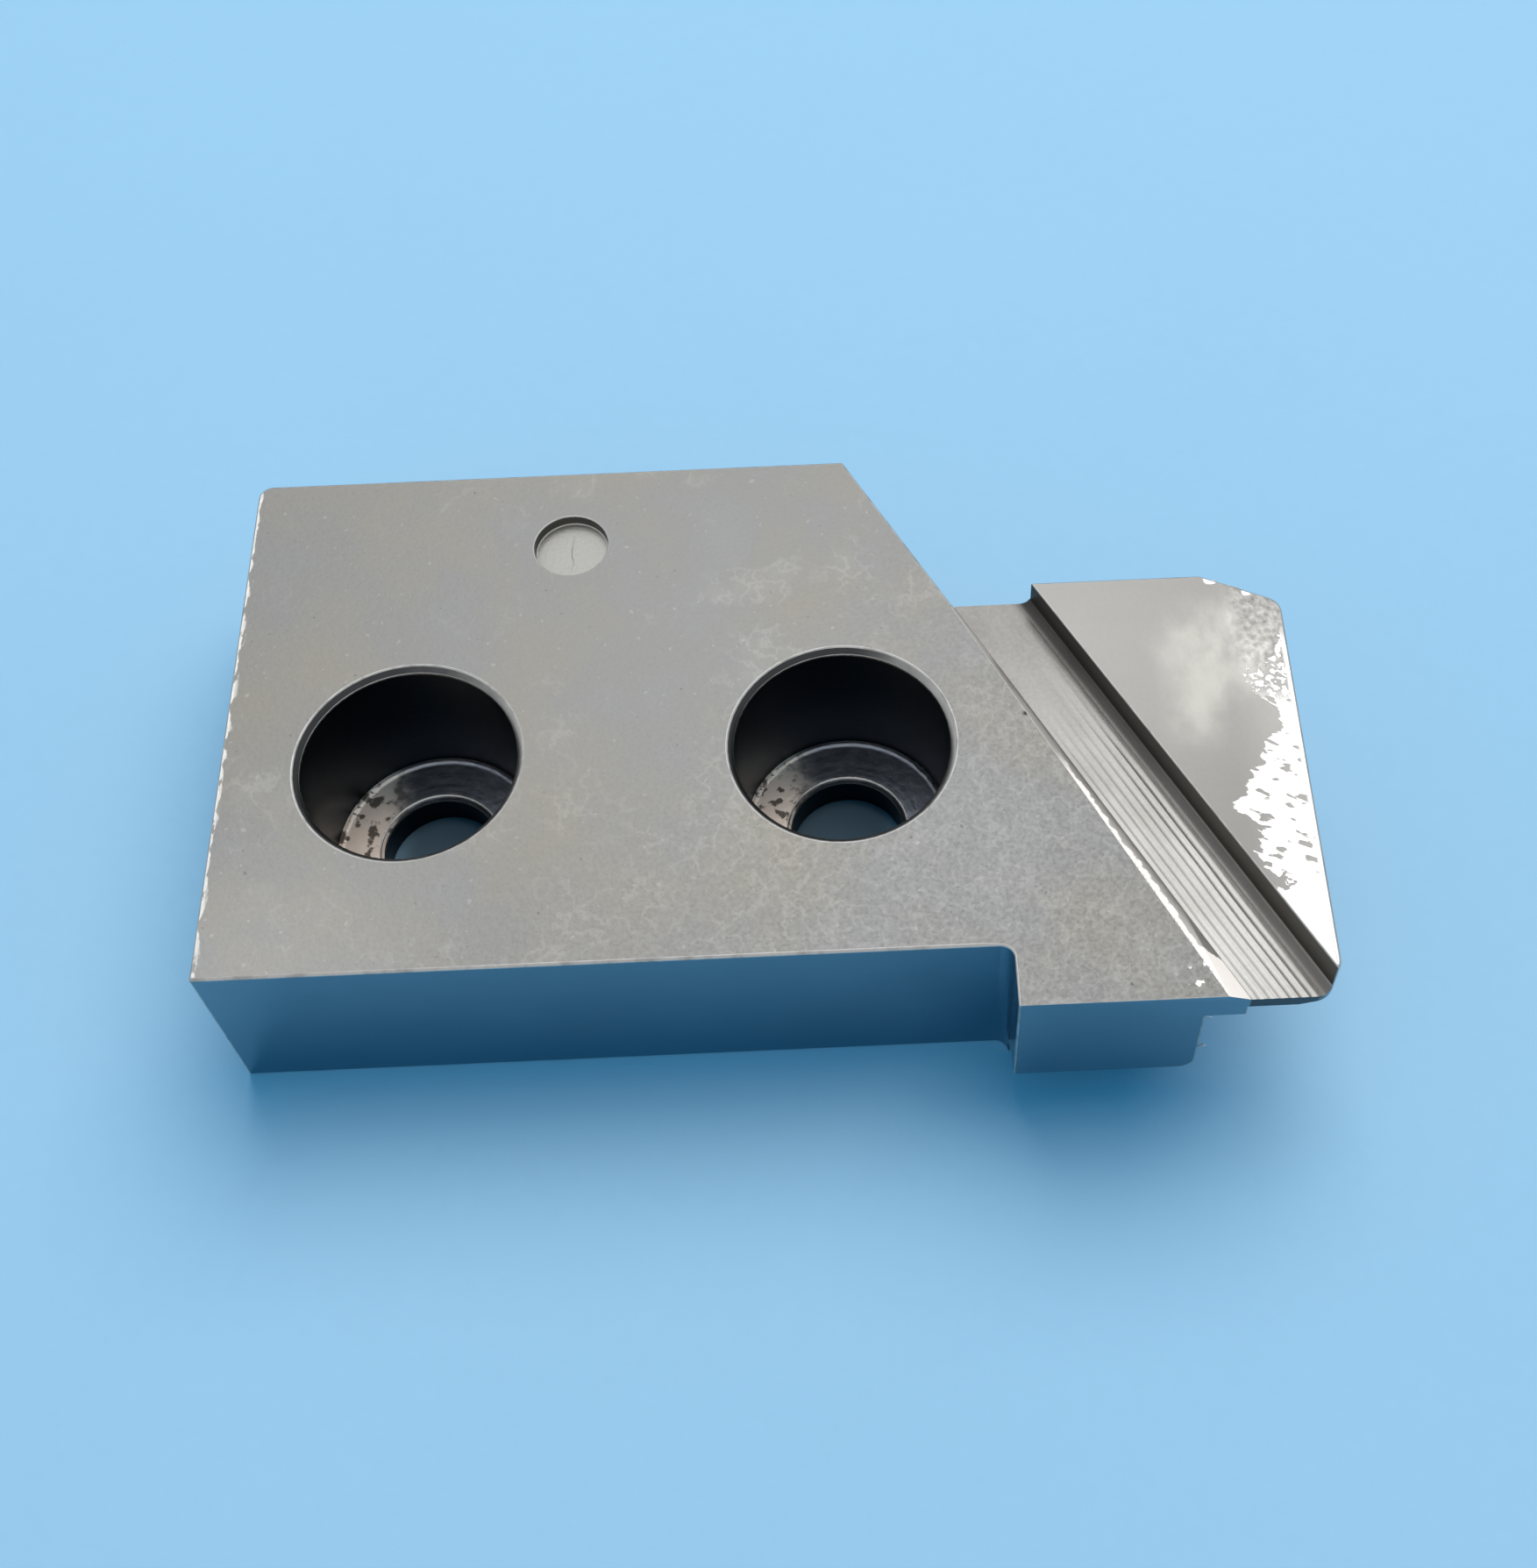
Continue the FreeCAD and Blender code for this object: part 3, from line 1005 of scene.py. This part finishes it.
@dataclass(frozen=True)
class Palette:
    """The finishes of the block, one for each kind of cut."""

    blasted: Finish = Blasted("blasted_top", (0.335, 0.336, 0.332), 0.50)
    # painted reflection: the ground sides' blue tint stands in for the shadowed blue floor that they reflect
    ground: Finish = Ground("ground_side_painted_reflection", (0.155, 0.28, 0.35), 0.22)
    milled: Finish = Milled("milled_shelf", (0.50, 0.49, 0.465), 0.32)
    # painted shade: this dark finish also covers the round mark's wall
    wall: Finish = Wall("blade_wall_and_recess_shade", (0.125, 0.122, 0.112), 0.36)
    lapped: Finish = Lapped("lapped_blade", (0.315, 0.305, 0.290), 0.30)
    # painted shade: the bores' near black, bluish colour stands in for the shade inside the holes
    bored: Finish = Bored("bored_wall_painted_shade", (0.008, 0.013, 0.022), 0.35)
    seat: Finish = Seat("turned_seat", (0.28, 0.31, 0.36), 0.34)
    dimple: Finish = Dimple("round_mark", (0.44, 0.435, 0.41), 0.45)
    shoulder: Finish = Shoulder("rubbed_shoulder", (0.50, 0.485, 0.455), 0.34)
    edge: Finish = Bright("soft_edge", (0.50, 0.50, 0.49), 0.32, dull=(0.34, 0.34, 0.33), cover=0.42)
    rim: Finish = Rim("bore_rim", (0.50, 0.50, 0.49), 0.32)

    def materials(self) -> "list[bpy.types.Material]":
        """Makes the materials, in the order of the cuts."""
        return [getattr(self, cut.name.lower()).material() for cut in Cut]


# ---------------------------------------------------------------- the block


@dataclass
class BlockBody:
    """The block in one piece: soft edges, ridges on the shelf, a finish for each cut.

    Attributes:
        layout: the block's shared places.
        materials: one for each cut, in the order of Cut.
        soft_edge: width of the softening on a plain edge.
        fine_share: the share of the widest softening that the bores' edges get.
        thin_share: the share that the front edges of the nose and plate get.
        worn_share: how much wider the worn left edge's softening is than a plain one's.
        far_off: cosine of the angle past which a corner's normal is set right.
        touch: a face or edge this close to a plane lies in it.
        flat: a face that looks up by more than this share is a floor.
        level: a face that looks up by more than this share doesn't slope.
        slope: the shoulder looks up by a share between these.
        sharp: an edge that turns by more than this angle is softened.
        ridge_pitch: from one of the cutter's ridges to the next.
        ridge_height: how far they stand up from their grooves.
        ridge_cuts: how many strips each of them gets.
        run_step: length of the shelf's strips.
    """

    layout: Layout
    materials: "list[bpy.types.Material]"
    soft_edge: float = 0.10 * MM
    fine_share: float = 0.4
    thin_share: float = 0.25
    worn_share: float = 1.5
    far_off: float = 0.85
    touch: float = 0.01 * MM
    flat: float = 0.9
    level: float = 0.99
    slope: "tuple[float, float]" = (0.85, 0.95)
    sharp: float = math.radians(28)
    ridge_pitch: float = 0.39 * MM
    ridge_height: float = 0.027 * MM
    ridge_cuts: int = 8
    run_step: float = 0.7 * MM

    def build(self) -> bpy.types.Object:
        """Makes the body.

        Returns:
            The finished piece.
        """
        shape = self.copy_solid()
        self.mark_cuts(shape)
        self.divide_shelf(shape)
        self.mark_edges(shape)
        mesh = bpy.data.meshes.new("jaw_block_body")
        for material in self.materials:
            mesh.materials.append(material)
        shape.to_mesh(mesh)
        shape.free()
        body = add_object("jaw_block_body", mesh)
        self.ridges().attach(body)
        self.soften(body)
        settle(body)
        self.right_normals(body.data)
        return body

    def copy_solid(self) -> bmesh.types.BMesh:
        """Copies the frame's solid, with its loose triangles merged into whole faces.

        Returns:
            The copy.
        """
        shape = bmesh.new()
        shape.from_mesh(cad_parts["jaw_block"].data)
        bmesh.ops.remove_doubles(shape, verts=shape.verts, dist=0.0001 * MM)
        bend = math.radians(0.2)
        bmesh.ops.dissolve_limit(shape, angle_limit=bend, verts=shape.verts, edges=shape.edges)
        return shape

    def cut_of(self, face: bmesh.types.BMFace) -> Cut:
        """Tells which cut left a face, from its place and direction.

        Args:
            face: a face of the solid's copy.

        Returns:
            Its cut.
        """
        layout = self.layout
        centre, normal = face.calc_center_median(), face.normal
        across = layout.across(centre)
        sunk = centre.z < layout.body_top - self.touch
        if sunk and layout.hole_distance(centre) < layout.counterbore_radius + layout.rim_chamfer:
            return self.cut_in_bore(centre, normal)
        if sunk and (centre - layout.dimple).xy.length < 1.05 * layout.dimple_radius:
            # the round mark's wall takes the dark wall finish, as painted shade inside the recess
            return Cut.DIMPLE if normal.z > self.flat else Cut.WALL
        if centre.z > layout.high.z - self.touch and normal.z > self.flat:
            return Cut.LAPPED
        on_plate = centre.z > layout.body_top - 1.2 * layout.shelf_drop and across > -layout.shoulder_width
        if on_plate and self.slope[0] < normal.z < self.slope[1] and across < 0.5 * MM:
            return Cut.SHOULDER
        if on_plate and sunk and normal.z > self.level:
            return Cut.MILLED
        by_wall = on_plate and across > 0.6 * layout.wall_across
        if by_wall and normal.x < -0.04 and normal.z > 0.3:
            return Cut.MILLED
        if by_wall and normal.x < -0.5:
            return Cut.WALL
        on_top = normal.z > self.flat and centre.z > layout.body_top - layout.shelf_drop
        return Cut.BLASTED if on_top else Cut.GROUND

    def cut_in_bore(self, centre: Vector, normal: Vector) -> Cut:
        """Tells which cut left a face of a screw hole.

        Args:
            centre: the middle of the face.
            normal: its direction.

        Returns:
            Its cut.
        """
        if centre.z > self.layout.body_top - self.layout.rim_chamfer:
            return Cut.RIM
        if normal.z > 0.3 and centre.z > 0.8 * self.layout.seat_height:
            return Cut.SEAT
        return Cut.GROUND if normal.z < -self.flat else Cut.BORED

    def mark_cuts(self, shape: bmesh.types.BMesh) -> None:
        """Gives each face its slot, and marks the shelf.

        Args:
            shape: the solid's copy.
        """
        shelf = shape.faces.layers.int.new("shelf")
        for face in shape.faces:
            face.smooth = True
            face.material_index = self.cut_of(face)
            face[shelf] = int(face.material_index == Cut.MILLED and face.normal.z > self.level)

    def divide_shelf(self, shape: bmesh.types.BMesh) -> None:
        """Cuts the shelf into a net fine enough for its ridges.

        Args:
            shape: the solid's copy, with its shelf marked.
        """
        shelf = shape.faces.layers.int["shelf"]
        sine, cosine = math.sin(self.layout.slant.angle), math.cos(self.layout.slant.angle)
        run, side = Vector((cosine, -sine, 0)), Vector((sine, cosine, 0))
        start = Vector((self.layout.slant.start * MM, 0, 0))
        step = self.ridge_pitch / self.ridge_cuts
        across = [start + side * step * i for i in range(1, int(self.layout.wall_across / step))]
        along = [start + run * self.run_step * i for i in range(-12, 26)]
        near = 0.1 * self.touch
        for places, direction in ((across, side), (along, run)):
            for place in places:
                faces = [face for face in shape.faces if face[shelf]]
                edges = {edge for face in faces for edge in face.edges}
                verts = {vert for face in faces for vert in face.verts}
                bmesh.ops.bisect_plane(
                    shape, geom=[*verts, *edges, *faces], dist=near, plane_co=place, plane_no=direction
                )

    def mark_edges(self, shape: bmesh.types.BMesh) -> None:
        """Weights each sharp edge for its softening, and keeps those round the shelf crisp.

        Args:
            shape: the solid's copy, with its cuts marked.
        """
        weight = shape.edges.layers.float.new("bevel_weight_edge")
        for edge in shape.edges:
            if len(edge.link_faces) != 2 or edge.calc_face_angle() < self.sharp:
                continue
            cuts = {face.material_index for face in edge.link_faces}
            place = (edge.verts[0].co + edge.verts[1].co) / 2
            if Cut.MILLED in cuts or Cut.SHOULDER in cuts:
                edge.smooth = False
            elif cuts & {Cut.BORED, Cut.SEAT, Cut.DIMPLE, Cut.RIM, Cut.WALL}:
                edge[weight] = self.fine_share
            elif place.x < self.layout.low.x + self.touch and Cut.BLASTED in cuts:
                edge[weight] = 1.0
            elif place.y < self.layout.low.y + self.touch and Cut.BLASTED in cuts:
                edge[weight] = self.thin_share
            else:
                edge[weight] = 1.0 / self.worn_share

    def ridges(self) -> GeometryTree:
        """The tree that raises the cutter's ridges on the shelf, fading out towards the back.

        Returns:
            The tree, ready for the body.
        """
        tree = GeometryTree(
            "cutter_ridges", Pitch=self.ridge_pitch / MM, Height=self.ridge_height,
            Fade_start=-3.5, Fade_end=6.0, First=0.05, Last=2.65, Seed=3.0,
        )
        size = tree.size
        place = tree.scaled(tree.node("GeometryNodeInputPosition"), 1 / MM)
        x, y, _ = tree.parts(place)
        across, along = self.layout.slant.across(x, y), self.layout.slant.along(x, y)
        wander = (tree.noise(tree.vector(0.0, along * 0.12, 0.0), 1.0, 5.0) - 0.5) * 0.25
        crest = abs(((across + wander) / size["Pitch"] * math.pi).cosine())
        uneven = tree.noise(tree.vector(across / size["Pitch"] * 0.9, along * 0.08, size["Seed"]), 1.0, 1.0)
        fade = along.rise(size["Fade_start"], size["Fade_end"])
        window = across.rise(size["First"], size["First"] + 0.15)
        window = window * across.rise(size["Last"], size["Last"] - 0.5)
        height = (0.5 - crest) * size["Height"] * fade * window * (0.3 + uneven * 1.4)
        kind = "GeometryNodeInputNamedAttribute"
        marked = tree.node(kind, {"data_type": "INT"}, {"Name": "shelf"}, "Attribute")
        raised = tree.node(
            "GeometryNodeSetPosition", None,
            {"Geometry": tree.shape, "Offset": tree.vector(0.0, 0.0, height), "Selection": marked},
        )
        tree.end(raised, self.materials[Cut.MILLED], marked)
        return tree

    def soften(self, body: bpy.types.Object) -> None:
        """Rounds the weighted edges and keeps the flat faces flat in the light.

        Args:
            body: the block.
        """
        bevel = body.modifiers.new("soft_edges", "BEVEL")
        bevel.limit_method = "WEIGHT"
        bevel.width = self.soft_edge * self.worn_share
        bevel.segments = 2
        bevel.use_clamp_overlap = False
        bevel.material = Cut.EDGE
        even = body.modifiers.new("flat_faces", "WEIGHTED_NORMAL")
        even.keep_sharp = True
        even.weight = 90

    def right_normals(self, mesh: bpy.types.Mesh) -> None:
        """Sets right the normals that the end of a softened edge has pulled far off their face.

        Args:
            mesh: the block's plain mesh.
        """
        normals = [corner.vector.copy() for corner in mesh.corner_normals]
        for face in mesh.polygons:
            if face.material_index == Cut.EDGE:
                continue
            for corner in face.loop_indices:
                if normals[corner].dot(face.normal) < self.far_off:
                    normals[corner] = face.normal.copy()
        mesh.normals_split_custom_set(normals)


@dataclass
class EdgeBurrs:
    """Small bright chips that machining left hanging on an edge.

    Attributes:
        name: the piece's name.
        path: points along the edge.
        material: the chips' finish.
        spacing: from one place for a chip to the next.
        chip: the largest chip's radius.
        stretch: how many times longer it is along the edge.
        cover: how much of the edge stays free, where 0.5 is about half.
        seed: the number of the random draw.
    """

    name: str
    path: "list[Vector]"
    material: bpy.types.Material
    spacing: float = 0.35 * MM
    chip: float = 0.06 * MM
    stretch: float = 2.0
    cover: float = 0.5
    seed: float = 1.0

    def build(self) -> bpy.types.Object:
        """Makes the chips.

        Returns:
            The finished piece.
        """
        mesh = bpy.data.meshes.new(self.name)
        links = [(i, i + 1) for i in range(len(self.path) - 1)]
        mesh.from_pydata([tuple(point) for point in self.path], links, [])
        piece = add_object(self.name, mesh)
        self.tree().attach(piece)
        settle(piece)
        return piece

    def tree(self) -> GeometryTree:
        """Builds the nodes that strew chips along the path.

        Returns:
            The tree.
        """
        tree = GeometryTree(
            f"{self.name}_chips", Spacing=self.spacing, Chip=self.chip,
            Stretch=self.stretch, Cover=self.cover, Seed=self.seed,
        )
        size = tree.size
        curve = tree.node("GeometryNodeMeshToCurve", None, {0: tree.shape})
        points = tree.node(
            "GeometryNodeCurveToPoints", {"mode": "LENGTH"}, {"Curve": curve, "Length": size["Spacing"]}
        )
        turn = Sock(tree, points.socket.node.outputs["Rotation"])
        place = tree.scaled(tree.node("GeometryNodeInputPosition"), 1 / MM)
        clumps = tree.noise(tree.vector(*tree.parts(place)[:2], size["Seed"]), 0.8, 2.0, 3.0)
        chosen = clumps.above(size["Cover"])
        ball = tree.node("GeometryNodeMeshIcoSphere", None, {"Radius": size["Chip"], "Subdivisions": 2})
        dents = tree.noise(place, 9.0, 3.0, 1.0)
        normal = tree.node("GeometryNodeInputNormal")
        lump = tree.node(
            "GeometryNodeSetPosition", None,
            {"Geometry": ball, "Offset": tree.scaled(normal, (dents - 0.5) * size["Chip"] * 1.6)},
        )
        wide = tree.node(
            "FunctionNodeRandomValue", {"data_type": "FLOAT_VECTOR"},
            {"Min": (0.35, 0.35, 0.6), "Max": (1.0, 1.0, 1.0), "Seed": int(self.seed)}, "Value",
        )
        drawn = tree.times(wide, tree.vector(1.0, 1.0, size["Stretch"]))
        chips = tree.node(
            "GeometryNodeInstanceOnPoints", None,
            {"Points": points, "Selection": chosen, "Instance": lump, "Rotation": turn, "Scale": drawn},
        )
        tree.end(chips, self.material)
        return tree


@dataclass
class CurledBurr:
    """A hair of metal that curls away from an edge.

    Attributes:
        name: the piece's name.
        root: where it hangs.
        material: its finish.
        radius: of its curl.
        turns: how often it goes round.
        drop: how far it winds down.
        thick: the hair's own radius.
        lean: how far it is turned about the line of its root, in radians.
    """

    name: str
    root: Vector
    material: bpy.types.Material
    radius: float = 0.22 * MM
    turns: float = 0.8
    drop: float = 0.15 * MM
    thick: float = 0.035 * MM
    lean: float = 0.0

    def build(self) -> bpy.types.Object:
        """Makes the curl.

        Returns:
            The finished piece.
        """
        mesh = bpy.data.meshes.new(self.name)
        mesh.from_pydata([tuple(self.root)], [], [])
        piece = add_object(self.name, mesh)
        self.tree().attach(piece)
        settle(piece)
        return piece

    def tree(self) -> GeometryTree:
        """Builds the nodes that wind the hair from its root.

        Returns:
            The tree.
        """
        tree = GeometryTree(
            f"{self.name}_hair", Radius=self.radius, Turns=self.turns, Drop=self.drop,
            Thick=self.thick, Lean=self.lean,
        )
        size = tree.size
        spiral = tree.node(
            "GeometryNodeCurveSpiral", None,
            {"Resolution": 28, "Rotations": size["Turns"], "Start Radius": size["Radius"],
             "End Radius": size["Radius"] * 0.55, "Height": size["Drop"]},
        )
        placed = tree.node(
            "GeometryNodeTransform", None,
            {"Geometry": spiral, "Rotation": tree.vector(math.radians(-70), size["Lean"], 0.0),
             "Translation": tuple(self.root)},
        )
        share = tree.node("GeometryNodeSplineParameter")
        ring = tree.node("GeometryNodeCurvePrimitiveCircle", None, {"Resolution": 8, "Radius": size["Thick"]})
        taper = 1.0 - share * 0.7
        hair = tree.node(
            "GeometryNodeCurveToMesh", None,
            {"Curve": placed, "Profile Curve": ring, "Scale": taper, "Fill Caps": True},
        )
        tree.end(hair, self.material)
        return tree


# ---------------------------------------------------------------- studio


@dataclass(frozen=True)
class Lamp:
    """A round soft lamp that faces the block.

    Attributes:
        name: the lamp's name.
        turn: how far it is turned from the back towards the right, in degrees.
        height: how high it stands over the floor, in degrees.
        distance: from the block.
        width: of its disk.
        level: the light that it throws on the floor, where 1 shows a colour as it is written.
        colour: of its light.
    """

    name: str
    turn: float
    height: float
    distance: float
    width: float
    level: float
    colour: Colour

    def hang(self, target: Vector) -> bpy.types.Object:
        """Hangs the lamp.

        Args:
            target: the point that it faces.

        Returns:
            The lamp's object.
        """
        turn, rise = math.radians(self.turn), math.radians(self.height)
        way = Vector((math.sin(turn) * math.cos(rise), math.cos(turn) * math.cos(rise), math.sin(rise)))
        light = bpy.data.lights.new(self.name, "AREA")
        light.shape = "DISK"
        light.size = self.width
        light.energy = self.level * math.pi**2 * (self.distance**2 + self.width**2 / 4) / math.sin(rise)
        light.color = self.colour
        lamp = bpy.data.objects.new(self.name, light)
        lamp.location = target + way * self.distance
        lamp.rotation_euler = (-way).to_track_quat("-Z", "Y").to_euler()
        bpy.context.scene.collection.objects.link(lamp)
        return lamp


@dataclass
class Studio:
    """Floor, camera and soft lights.

    Attributes:
        floor_half: half the floor's side.
        floor_colour: the card's colour.
        surround: what the eye and reflections see round the block.
        fill: the light that comes from there.
        target: the point that the lamps face.
        key: the large lamp that lights the block and throws its shadow.
        panel: the small lamp that polished metal shows.
        eye: the camera's place.
        eye_turn: its turn about each axis, in degrees.
        lens: its focal length in millimetres.
        shift: how far its frame is moved across and up.
    """

    floor_half: float = 600 * MM
    floor_colour: Colour = (0.335, 0.63, 0.90)
    surround: Colour = (0.72, 0.73, 0.74)
    fill: Colour = (0.08, 0.31, 0.43)
    target: Vector = field(default_factory=lambda: Vector((16, 0, 0)) * MM)
    key: Lamp = Lamp("key", 30, 61, 1000 * MM, 1000 * MM, 0.80, (1.0, 0.72, 0.575))
    panel: Lamp = Lamp("panel", 0, 60, 300 * MM, 200 * MM, 0.10, (1.0, 1.0, 1.0))
    eye: Vector = field(default_factory=lambda: Vector((21.291, -52.829, 94.009)) * MM)
    eye_turn: "tuple[float, float, float]" = (32.273, 1.183, -2.234)
    lens: float = 49.53
    shift: "tuple[float, float]" = (-0.0691, -0.0313)

    def build(self) -> None:
        """Makes the whole studio."""
        self.add_floor()
        self.add_camera()
        self.key.hang(self.target).visible_glossy = False
        self.panel.hang(self.target)
        self.light_world()
        bpy.context.scene.view_settings.view_transform = "Standard"

    def add_floor(self) -> None:
        """Lays the floor."""
        half = self.floor_half
        mesh = bpy.data.meshes.new("floor")
        corners = [(-half, -half, 0), (half, -half, 0), (half, half, 0), (-half, half, 0)]
        mesh.from_pydata(corners, [], [(0, 1, 2, 3)])
        mesh.materials.append(Card("floor_card", self.floor_colour, 0.9).material())
        add_object("floor", mesh)

    def add_camera(self) -> None:
        """Sets up the camera."""
        lens = bpy.data.cameras.new("camera")
        lens.lens = self.lens
        lens.sensor_width = 36
        lens.shift_x, lens.shift_y = self.shift
        lens.clip_start = 1 * MM
        camera = bpy.data.objects.new("camera", lens)
        camera.location = self.eye
        camera.rotation_euler = Euler([math.radians(angle) for angle in self.eye_turn])
        bpy.context.scene.collection.objects.link(camera)
        bpy.context.scene.camera = camera

    def light_world(self) -> None:
        """Lights the surround: pale to the eye and in reflections, a soft cool fill otherwise."""
        world = bpy.data.worlds.new("surround")
        bpy.context.scene.world = world
        world.use_nodes = True
        tree = NodeTree(world.node_tree)
        path = tree.node("ShaderNodeLightPath", None, None, "Is Camera Ray")
        outputs = path.socket.node.outputs
        glossy, passing = outputs["Is Glossy Ray"], outputs["Is Transmission Ray"]
        seen = path.most(Sock(tree, glossy)).most(Sock(tree, passing))
        fill = tree.node("ShaderNodeBackground", None, {"Color": (*self.fill, 1.0), "Strength": 1.0})
        pale = tree.node("ShaderNodeBackground", None, {"Color": (*self.surround, 1.0), "Strength": 1.0})
        mixed = tree.node("ShaderNodeMixShader", None, {0: seen, 1: fill, 2: pale})
        tree.node("ShaderNodeOutputWorld", None, {"Surface": mixed})


@dataclass(frozen=True)
class Burrs:
    """Every burr of the block: chips along three edges, and two hairs on the nose's end.

    Attributes:
        layout: the block's shared places.
        bright: the chips' finish.
        hair: the hairs' finish.
        left_inset: from the left end face in to the chips on its edge.
        left_sunk: from the top face down to them.
        left_front: where they begin.
        left_back: how far before the back face they end.
        shoulder_sunk: from the shoulder's edge down to the chips on it.
        shoulder_run: the depths that they run through, in millimetres.
        corner_sunk: from the blade's top down to the chips on its cut corner.
        corner_start: where they begin along the back edge of that corner.
        corner_inset: from that back edge in to them.
        corner_end: how far before the outer edge they end.
        hair_inset: from the nose's front face in to the hairs.
        ledge_hair: the upper hair's place from the foot of the nose's end, in millimetres.
        nose_hair: the lower hair's place from there, in millimetres.
    """

    layout: Layout
    bright: bpy.types.Material
    hair: bpy.types.Material
    left_inset: float = 0.10 * MM
    left_sunk: float = 0.06 * MM
    left_front: float = -10.0 * MM
    left_back: float = 1.0 * MM
    shoulder_sunk: float = 0.03 * MM
    shoulder_run: "tuple[float, ...]" = (-3.5, -8.0, -13.3)
    corner_sunk: float = 0.13 * MM
    corner_start: float = 0.3 * MM
    corner_inset: float = 0.14 * MM
    corner_end: float = 0.9 * MM
    hair_inset: float = 0.25 * MM
    ledge_hair: "tuple[float, float, float]" = (0.15, 0.0, 7.4)
    nose_hair: "tuple[float, float, float]" = (0.20, 0.0, 4.3)

    def left_edge(self) -> "list[Vector]":
        """The path along the left edge of the top face.

        Returns:
            Its points.
        """
        low, high = self.layout.low, self.layout.high
        x, z = low.x + self.left_inset, self.layout.body_top - self.left_sunk
        return [Vector((x, self.left_front, z)), Vector((x, high.y - self.left_back, z))]

    def shoulder_edge(self) -> "list[Vector]":
        """The path along the front part of the shoulder's upper edge."""
        sunk = Vector((0, 0, self.shoulder_sunk))
        return [self.layout.shoulder(y * MM) - sunk for y in self.shoulder_run]

    def corner_edge(self) -> "list[Vector]":
        """The path along the blade's cut corner.

        Returns:
            Its points.
        """
        layout = self.layout
        z = layout.high.z - self.corner_sunk
        first = layout.high.x - layout.corner_length + self.corner_start
        back = Vector((first, layout.plate_back - self.corner_inset, z))
        last = layout.plate_back - 0.75 * layout.corner_depth
        return [back, Vector((layout.high.x - self.corner_end, last, z))]

    def pieces(self) -> "list[EdgeBurrs | CurledBurr]":
        """Lists the burrs.

        Returns:
            One builder for each piece.
        """
        foot = Vector((self.layout.nose_end, self.layout.low.y + self.hair_inset, 0))
        upper, lower = foot + Vector(self.ledge_hair) * MM, foot + Vector(self.nose_hair) * MM
        fine = {"spacing": 0.22 * MM, "chip": 0.055 * MM}
        long = {"radius": 0.26 * MM, "turns": 1.1}
        return [
            EdgeBurrs("left_edge_burrs", self.left_edge(), self.bright, cover=0.56, seed=3.0),
            EdgeBurrs("shoulder_burrs", self.shoulder_edge(), self.bright, cover=0.45, seed=8.0, **fine),
            EdgeBurrs("corner_burrs", self.corner_edge(), self.bright, chip=0.09 * MM, cover=0.52, seed=5.0),
            CurledBurr("ledge_curl", upper, self.hair, lean=0.4),
            CurledBurr("nose_curl", lower, self.hair, lean=-0.5, **long),
        ]


def main() -> None:
    """Builds the dressed block and its studio."""
    logging.basicConfig(level=logging.INFO, format="%(name)s: %(message)s")
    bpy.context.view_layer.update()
    layout = Layout.from_frame()
    palette = Palette()
    body = BlockBody(layout, palette.materials()).build()
    ride_root(body)
    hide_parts("jaw_block")
    LOG.info("%s: %d faces", body.name, len(body.data.polygons))
    bright = Bright("burr_metal", (0.92, 0.92, 0.89), 0.28, dull=(0.70, 0.70, 0.68)).material()
    hair = Bright("hair_metal", (0.75, 0.77, 0.80), 0.30, dull=(0.40, 0.43, 0.46)).material()
    for builder in Burrs(layout, bright, hair).pieces():
        piece = builder.build()
        ride_root(piece)
        LOG.info("%s: %d faces", piece.name, len(piece.data.polygons))
    Studio().build()


if __name__ == "__main__":
    main()
